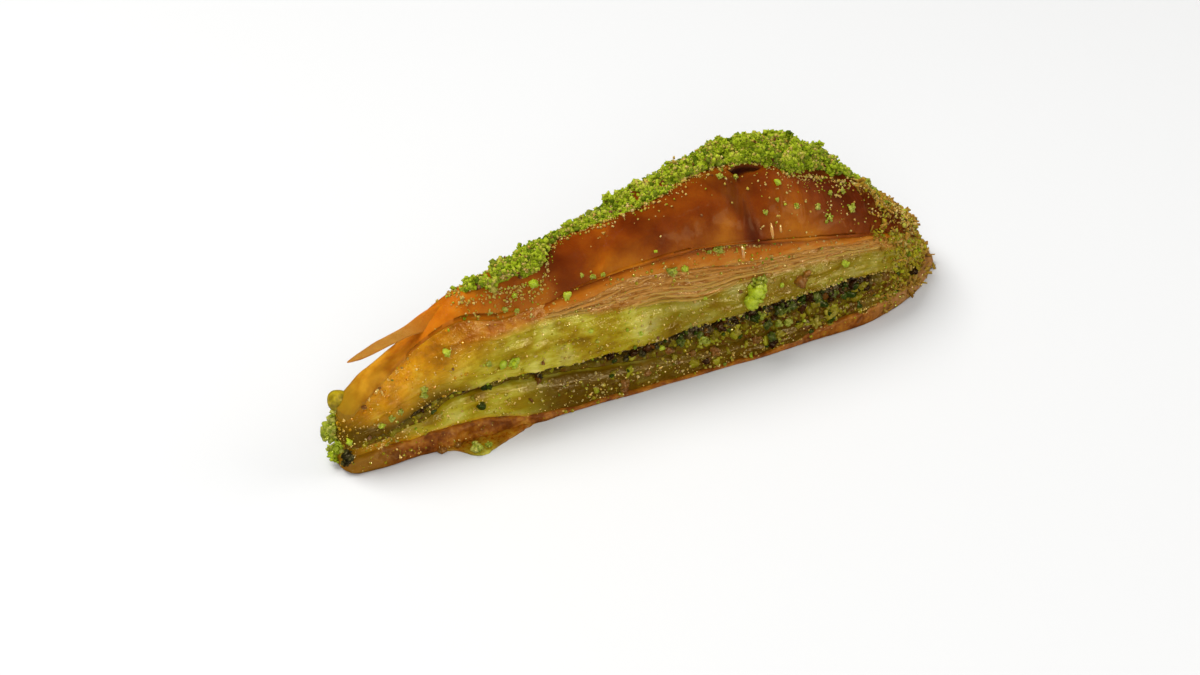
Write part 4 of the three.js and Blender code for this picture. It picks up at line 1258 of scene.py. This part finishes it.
# ---- The single bits ----
# Bits large enough to be seen one by one: pieces of nut and shreds of skin that stuck to the wet leaves, and
# at the tip a crust of chopped nuts, a ball of dough and a black-green piece in syrup.
SURFACES = {
    "top": dome_rows, "second": second_rings[3:-2], "upper": upper_wall, "filling": filling_wall,
    "lower": lower_wall, "base": base_rings[4:-3],
}
STUCK = {  # the share of the size that is one core, colours, and each bit's surface, x, height and size
    "stuck_bright_nuts": (0.9, [(162, 184, 14), (188, 208, 26), (202, 214, 62)], [
        ("top", 55, 39.5, 2.3), ("top", 49.5, 38, 1.5), ("top", 128, 48, 1.8), ("second", 63, 34.5, 2.5),
        ("second", 96, 34, 2.2), ("upper", 29, 28.5, 2.6), ("upper", 45.5, 21.5, 3), ("upper", 43, 21.5, 2.2),
        ("upper", 10, 13, 1.8), ("upper", 1.5, 10.5, 1.8), ("upper", 115, 20, 5), ("upper", 116.5, 22, 5.6),
        ("upper", 124.5, 21.5, 1.4), ("upper", 144.5, 22.5, 2.4), ("upper", 82, 19, 1.4),
        ("filling", 90, 10.5, 1.6), ("lower", 133, 8.5, 1.6), ("upper", 68, 24, 1.3),
        ("upper", 102, 23.5, 1.5),
    ]),
    "stuck_green_nuts": (0.6, [(136, 150, 20), (168, 178, 40), (202, 196, 92)], [
        ("top", 46.5, 35, 1.8), ("top", 49.5, 34, 1.7), ("top", 42.5, 35, 1.6), ("top", 113.5, 51.5, 2),
        ("top", 68, 39, 1.4), ("top", 70.5, 38, 1.6), ("top", 73.5, 38, 1.5), ("top", 163, 33.5, 4.2),
        ("top", 165.5, 31.5, 4.4), ("top", 167.5, 29, 3.4), ("top", 118.5, 50, 1.8), ("top", 138, 40, 1.9),
        ("top", 131.5, 42, 1.7), ("top", 141, 36, 2.6), ("top", 149.5, 36, 2.8), ("top", 149, 39.5, 2),
        ("top", 122, 42.5, 1.5), ("top", 126, 45, 1.4), ("top", 144, 41, 1.5), ("second", 92.5, 33.5, 3.2),
        ("second", 53, 31.5, 1.8), ("upper", 118, 24, 4.4),
        ("second", 107.5, 36, 2.2), ("second", 106, 36.5, 2), ("second", 104, 36.5, 1.6),
        ("upper", 39, 23, 1.9), ("upper", 21.5, 18.5, 2.2), ("upper", 22, 20, 2), ("upper", 12.5, 14.5, 2),
        ("upper", 15, 15.5, 1.8), ("filling", 101.5, 10.5, 3), ("filling", 103, 9, 1.8),
        ("filling", 119, 12.5, 2.6), ("filling", 128, 7.5, 3), ("filling", 125, 8, 2.6),
    ]),
    "stuck_deep_green_nuts": (0.75, [(44, 56, 4), (76, 92, 8), (114, 128, 20)], [
        ("filling", 125.5, 12.5, 3.6), ("filling", 129, 12.5, 3.4), ("filling", 121.5, 9, 3.2),
        ("lower", 122, 5, 3), ("filling", 136.5, 13.5, 3.8), ("filling", 139, 14.5, 2.6),
        ("filling", 142, 13, 3.2), ("filling", 95, 11.5, 2.6), ("filling", 101, 12, 2.4),
    ]),
    "stuck_yellow_nuts": (0.75, [(150, 132, 10), (172, 156, 20), (184, 170, 40)], [
        ("lower", 141.5, 7, 4.8), ("lower", 143.5, 8.5, 2.6), ("lower", 136, 6, 3.8), ("filling", 126, 11, 3),
        ("lower", 125, 5, 2.8), ("filling", 112, 9.5, 2.6), ("lower", 93, 7, 2), ("upper", 25, 14.5, 1.8),
    ]),
    "stuck_brown_bits": (0.8, [(126, 68, 8), (162, 104, 26), (124, 90, 20)], [
        ("upper", 130, 21.5, 3.2), ("upper", 132, 23, 2.2), ("second", 47, 30.5, 2.6),
        ("upper", 54, 18.5, 1.2), ("upper", 6, 19.5, 1.5), ("upper", 11, 23, 0.9),
        ("lower", 77, 4.5, 3), ("base", 77.5, 1, 2.8), ("base", 25, 1, 2.6), ("base", 29, 1.5, 1.8),
        ("lower", 84, 5.5, 2.2), ("upper", 112, 23, 1.2), ("lower", 105, 5.5, 3), ("filling", 98.5, 6.5, 2.4),
        ("lower", 117.5, 5, 3), ("filling", 92, 9, 2.6),
    ]),
    "stuck_dark_bits": (0.7, [(26, 20, 5), (50, 44, 12), (84, 80, 30)], [
        ("base", 1.5, 4, 4), ("filling", 54.5, 11.5, 2.6), ("base", 0.5, 3, 2.4), ("filling", 84, 10.5, 2.6),
        ("filling", 80, 10, 2.2), ("filling", 88, 11.5, 2),
    ]),
}
LYING = np.array([  # x, y, z, size of the green bits that lie on the flap and at the tip
    (32, -14, 1.4, 3.8), (35.5, -14.6, 1.2, 2.2), (-0.6, 3.6, 8, 5.6),
])
TIP_CRUST = 16  # how many lumps of each green stick to the front of the tip


def perched(rows):
    """The places and facings of bits: on each surface's near side, the point nearest to x and height."""
    found = []
    for surface, x, z, _ in rows:
        rings = SURFACES[surface]
        off = np.hypot(rings[..., 0] - x, rings[..., 2] - z) + 99 * (rings[..., 1] > 0)
        at = np.unravel_index(off.argmin(), off.shape)
        found.append((rings[at], facing(rings)[at]))
    return (np.array(part) for part in zip(*found))


def on_front(middle, out):
    """The front of the tip, towards its far corner, from the dish up to the upper leaves."""
    x, y, z = np.moveaxis(middle, -1, 0)
    return np.exp(-((x / 2) ** 2)) * smooth(y, -1, 2.5) * (1 - smooth(z, 11, 16))


def clustered(places, out, sizes, draw, grains=26, cuts=2, core=0.6):
    """Crumbly bits: grains thrown round each place on its open side. The first is the core, of that share of
    the bit's size."""
    count = len(places)
    way = draw.normal(size=(count, grains, 3))
    way = way / np.linalg.norm(way, axis=-1, keepdims=True)
    way = way * np.where((way * out[:, None]).sum(-1, keepdims=True) < -0.3, -1, 1)
    reach = 0.46 * sizes[:, None, None] * draw.random((count, grains, 1)) ** 0.5
    share = draw.uniform(0.14, 0.36, (count, grains))
    reach[:, 0], share[:, 0] = 0, core
    at = (places[:, None] + way * reach).reshape(-1, 3)
    sizes = (sizes[:, None] * share).ravel()
    return chopped(at, np.repeat(out, grains, 0), sizes, draw, cuts, 0.15, dented=0.15, lumpy=0.45)


single_draw = np.random.default_rng(14)
tip_front = np.concatenate([base_rings[5:11], lower_wall[3:], upper_wall[2:40]])
for name, (core, colours, rows) in STUCK.items():
    at, out = perched(rows)
    sizes = np.array([row[3] for row in rows])
    sets = [clustered(at, out, sizes, single_draw, core=core)]
    if name == "stuck_green_nuts":
        upwards = np.tile([0.0, 0, 1], (len(LYING), 1))
        sets.append(clustered(LYING[:, :3], upwards, LYING[:, 3], single_draw))
    if name in ("stuck_bright_nuts", "stuck_green_nuts"):
        at, out = strew(tip_front, TIP_CRUST, on_front, single_draw)
        sizes = single_draw.uniform(1.6, 3.6, TIP_CRUST)
        sets.append(clustered(at + out * 0.5, out, sizes, single_draw, 10))
    finish = nut_finish(name.replace("_", " "), colours, WET_NUT | {"Coat Weight": 0.35}, 0.25, dent=0.2)
    strewn_piece(name, sets, finish, "soaked_nut", False)

CLUMPS = {  # finish, and how many, their least and most size and the grains in each
    "crumb_clumps": (bright_finish, [(190, 1.6, 3, 16), (80, 2.8, 4.6, 28)]),
    "golden_clumps": (golden_finish, [(40, 1.4, 3, 18)]),
}
for name, (finish, rows) in CLUMPS.items():
    sets = []
    for count, least, most, grains in rows:
        at, out = strew(heap_top, count, on_heap, single_draw, False)
        sizes = single_draw.uniform(least, most, count)
        sets.append(clustered(at, out, sizes, single_draw, grains, 0))
    strewn_piece(name, sets, finish, "nut_crumb")

TIP_MEAL = [(tip_front, on_front, True)]
tip_sets = strewn_sets(TIP_MEAL, [260], 0.35, 1.2, 1, single_draw, cuts=0, lift=0.5)
strewn_piece("meal_on_the_tip", tip_sets, bright_finish, "nut_crumb")

BALL_AT = (2.4, 3.2, 18.4)
BALL_RADIUS = 2.7
corners, faces = boxy_ball(7)
ball_points = np.array(BALL_AT) + BALL_RADIUS * corners * (1 + 0.14 * noise(corners, 0.9, 161))[:, None]
ball_finish = Finish("dough ball", SYRUP_GLOSS)
ball_cloud = ball_finish.patches(1.3)
ball_olive = ball_finish.ramp(ball_cloud, (0.35, 128, 106, 4), (0.5, 152, 132, 8), (0.65, 176, 150, 18))
ball_finish.paint(ball_olive, 0.3 + 0.3 * ball_cloud)
ball_finish.dents(ball_cloud, 0.2)
piece("dough_ball", ball_points, faces, ball_finish, "soaked_leaf")

# ---- The beads and bubbles ----
# Drops of syrup have gathered on the cut leaves and on the base: clear, golden and round, they catch the
# light as small sparks. Tiny bubbles of air and crystals of sugar lie among them, and some have gathered into
# a foam; their pale, bright colour is partly painted glint, the small highlights of wet syrup put into the
# colour.
WET_ROWS = [filling_wall[2:-2], side_rows, lower_wall[3:-2], base_rings[5:11]]
BEADS = (420, 620, 520, 220)  # how many on each of those rows
BUBBLES = (400, 2000, 1300, 200)
FOAM = [  # surface, x, height, size
    ("upper", 10, 22.5, 1.7), ("upper", 11.5, 22, 1.2), ("upper", 13.5, 24.5, 0.9), ("upper", 8, 21, 1.2),
    ("upper", 1.5, 16, 1.2), ("upper", 1, 13, 0.8), ("upper", 5.5, 14, 0.8), ("upper", 27.5, 27, 0.9),
    ("upper", 31.5, 28, 0.8), ("lower", 9.5, 5.5, 1.1), ("lower", 11, 8, 0.7), ("base", 13.5, 2, 1.2),
    ("lower", 28, 9.5, 0.9), ("lower", 47.5, 9, 1), ("lower", 82, 6.5, 0.8), ("upper", 42, 16.5, 0.8),
]


def beading(middle, out):
    """In patches, thickest at the tip."""
    return smooth(noise(middle, 5, 151), -0.1, 0.7) + 0.1 + 0.6 * (1 - smooth(middle[..., 0], 8, 40))


def bubbling(middle, out):
    """In tight groups, most of them at the tip."""
    tip = 1 - smooth(middle[..., 0], 10, 50)
    return clumping(middle, 3, 152) * (0.45 + 0.7 * tip) + 0.05


bead_draw = np.random.default_rng(13)
bead_sets = []
corners, faces = boxy_ball(1)
for grid, count in zip(WET_ROWS, BEADS):
    at, out = strew(grid, count, beading, bead_draw)
    sizes = 0.3 + 0.9 * bead_draw.random(count) ** 3
    points = corners * sizes[:, None, None] * bead_draw.uniform(0.4, 0.6, (count, 1, 3)) + at[:, None]
    numbers = faces + np.arange(count)[:, None, None] * len(corners)
    amber = (1 - smooth(at[:, 0] - 1.2 * (at[:, 2] - 20), 14, 50)) * smooth(at[:, 2], 9, 18)
    bead_sets.append((points.reshape(-1, 3), numbers.reshape(-1, 3), np.repeat(amber, len(corners))))
BUBBLES_ON = [(rows, bubbling, True) for rows in WET_ROWS]
bubble_sets = strewn_sets(BUBBLES_ON, BUBBLES, 0.16, 0.62, 2, bead_draw, cuts=0, lift=0.3)
at, out = perched(FOAM)
sizes = np.array([row[3] for row in FOAM])
bubble_sets.append(clustered(at, out, sizes, bead_draw, 14, 0, core=0.4))
# Painted glint: the bubbles are coloured pale and bright.
bubble_finish = Finish("sugar bubbles", {"Coat Weight": 1, "Coat Roughness": 0.1})
bubble_colour = bubble_finish.mix(bubble_finish.field("bit"), tone(216, 166, 50), tone(248, 216, 120))
bubble_finish.paint(bubble_colour, 0.3)
strewn_piece("sugar_bubbles", bubble_sets, bubble_finish, "soaked_leaf", False)
bead_finish = Finish("syrup", {
    "Coat Weight": 1, "Coat Roughness": 0.03, "Specular IOR Level": 0.5, "Subsurface Weight": 0.4,
    "Subsurface Radius": (1.0, 0.8, 0.2), "Subsurface Scale": 1.5 * MM,
})
bead_colour = bead_finish.mix(bead_finish.field("bit"), tone(152, 136, 26), tone(196, 124, 12))
bead_finish.paint(bead_colour, 0.05 + 0.1 * bead_finish.patches(0.6))
strewn_piece("syrup_beads", bead_sets, bead_finish, "soaked_leaf", False)

# ---- The syrup drips ----
# Three threads of syrup that ran down over the edges of the top leaf and the second leaf and set there,
# standing out as shiny ridges. Their pale colour is painted highlight, the streaks of light that the ridges
# catch.
DRIPS = [  # surface, x, from height, to height, width
    ("second", 114, 35.8, 32, 0.5), ("top", 122.8, 40, 35.5, 0.5), ("top", 125.6, 39, 36, 0.4),
]
drip_sets = []
corners, faces = boxy_ball(5)
for surface, x, high, low, width in DRIPS:
    ends, out = perched([(surface, x, high, 0), (surface, x, low, 0)])
    half_run = (ends[0] - ends[1]) / 2
    aside = np.cross(out[0], half_run)
    drip_axes = np.array([aside / np.linalg.norm(aside) * width, half_run, out[0] * width])
    points = ends.mean(0) + corners @ drip_axes
    points = points + 0.12 * noise(points, 0.8, 171)[:, None]
    drip_sets.append((points, faces, np.zeros(len(points))))
# Painted highlight: the drips are coloured pale.
drip_finish = Finish("set syrup", SYRUP_GLOSS | {"Subsurface Weight": 0.5})
drip_finish.paint(drip_finish.mix(drip_finish.patches(0.8), tone(190, 124, 50), tone(222, 168, 104)), 0.25)
strewn_piece("syrup_drips", drip_sets, drip_finish, "soaked_leaf", False)

# ---- The stage ----
# A plain pale table in a bright room, under three broad lamps that light it. Three more lamps show only as
# glints on the whole slice, and small strong ones show only as sparkles on the wet pieces.
FLOOR_SIZE = 6
CAMERA_AT = Vector((-0.2474, -0.3592, 0.3198))
LOOKS_AT = Vector((-0.0099, 0.0113, 0))
LENS, SENSOR = 58.5, 36  # both in millimetres
CLIP = 0.01, 20
LIGHTS = [  # place, side, watts
    ((-0.35, 0.45, 1.1), 0.7, 15), ((-0.65, -0.9, 0.75), 0.7, 8), ((0.85, -0.3, 0.6), 0.7, 4),
]
GLINTS = [  # place, side, watts
    ((0.25, -0.42, 0.9), 0.1, 0.1), ((0.55, -0.95, 0.3), 0.4, 1.3), ((-0.62, -0.5, 0.7), 0.1, 0.1),
]
SPARKLES = [  # place, side, watts
    ((0.25, -0.95, 0.35), 0.1, 6), ((-0.55, -0.6, 0.75), 0.1, 4), ((0.1, -0.5, 0.9), 0.1, 4),
]
WHITE, GLINT_COLOUR, SPARKLE_COLOUR = (1, 1, 1), (1, 0.74, 0.36), (1, 0.8, 0.42)
WET_PIECES = [  # the share of the sparkles' watts that a group of wet pieces takes
    (0.1, ["browned_base_leaf"]),
    (0.4, ["soaked_lower_leaves", "soaked_upper_leaves", "squeezed_flap", "dough_ball"]),
    (0.17, ["nut_filling_bed", *BITS]),
    (0.5, list(STUCK)),
    (5, ["syrup_beads", "sugar_bubbles", "syrup_drips"]),
]
ROOM_LIGHT = 0.3


def hang_lamps(name, rows, colour, share=1, glints=True, only=None):
    """Square lamps that face the slice. They either light it or only glint on it, and reach every piece or
    only that collection of pieces."""
    for at, side, watts in rows:
        lamp = bpy.data.lights.new(name, "AREA")
        lamp.size, lamp.energy, lamp.color = side, share * watts, colour
        holder = bpy.data.objects.new(name, lamp)
        holder.location = at
        holder.rotation_euler = (-Vector(at)).to_track_quat("-Z", "Y").to_euler()
        holder.visible_diffuse, holder.visible_glossy = not glints, glints
        holder.light_linking.receiver_collection = only
        bpy.context.scene.collection.objects.link(holder)


table_mesh = bpy.data.meshes.new("table")
table_corners = [(x * FLOOR_SIZE / 2, y * FLOOR_SIZE / 2, 0) for x, y in ((-1, -1), (1, -1), (1, 1), (-1, 1))]
table_mesh.from_pydata(table_corners, [], [(0, 1, 2, 3)])
table = bpy.data.objects.new("table", table_mesh)
bpy.context.scene.collection.objects.link(table)
table_finish = Finish("pale table", {"Roughness": 0.6, "Specular IOR Level": 0.2})
table_finish.give(table_finish.shader, {"Base Color": (0.68, 0.68, 0.675, 1)})
table_mesh.materials.append(table_finish.material)
table.visible_glossy = False

hang_lamps("light", LIGHTS, WHITE, glints=False)
hang_lamps("glint", GLINTS, GLINT_COLOUR)
for share, names in WET_PIECES:
    group = bpy.data.collections.new("wet pieces")
    for name in names:
        group.objects.link(bpy.data.objects[name])
    hang_lamps("sparkle", SPARKLES, SPARKLE_COLOUR, share, only=group)

world = bpy.data.worlds.new("room")
world.use_nodes = True
world.node_tree.nodes["Background"].inputs["Color"].default_value = (1, 1, 1, 1)
world.node_tree.nodes["Background"].inputs["Strength"].default_value = ROOM_LIGHT
world.cycles_visibility.glossy = False
bpy.context.scene.world = world
bpy.context.scene.view_settings.view_transform = "Standard"

camera = bpy.data.objects.new("camera", bpy.data.cameras.new("camera"))
camera.data.lens, camera.data.sensor_width = LENS, SENSOR
camera.data.clip_start, camera.data.clip_end = CLIP
camera.location = CAMERA_AT
camera.rotation_euler = (LOOKS_AT - CAMERA_AT).to_track_quat("-Z", "Y").to_euler()
bpy.context.scene.collection.objects.link(camera)
bpy.context.scene.camera = camera
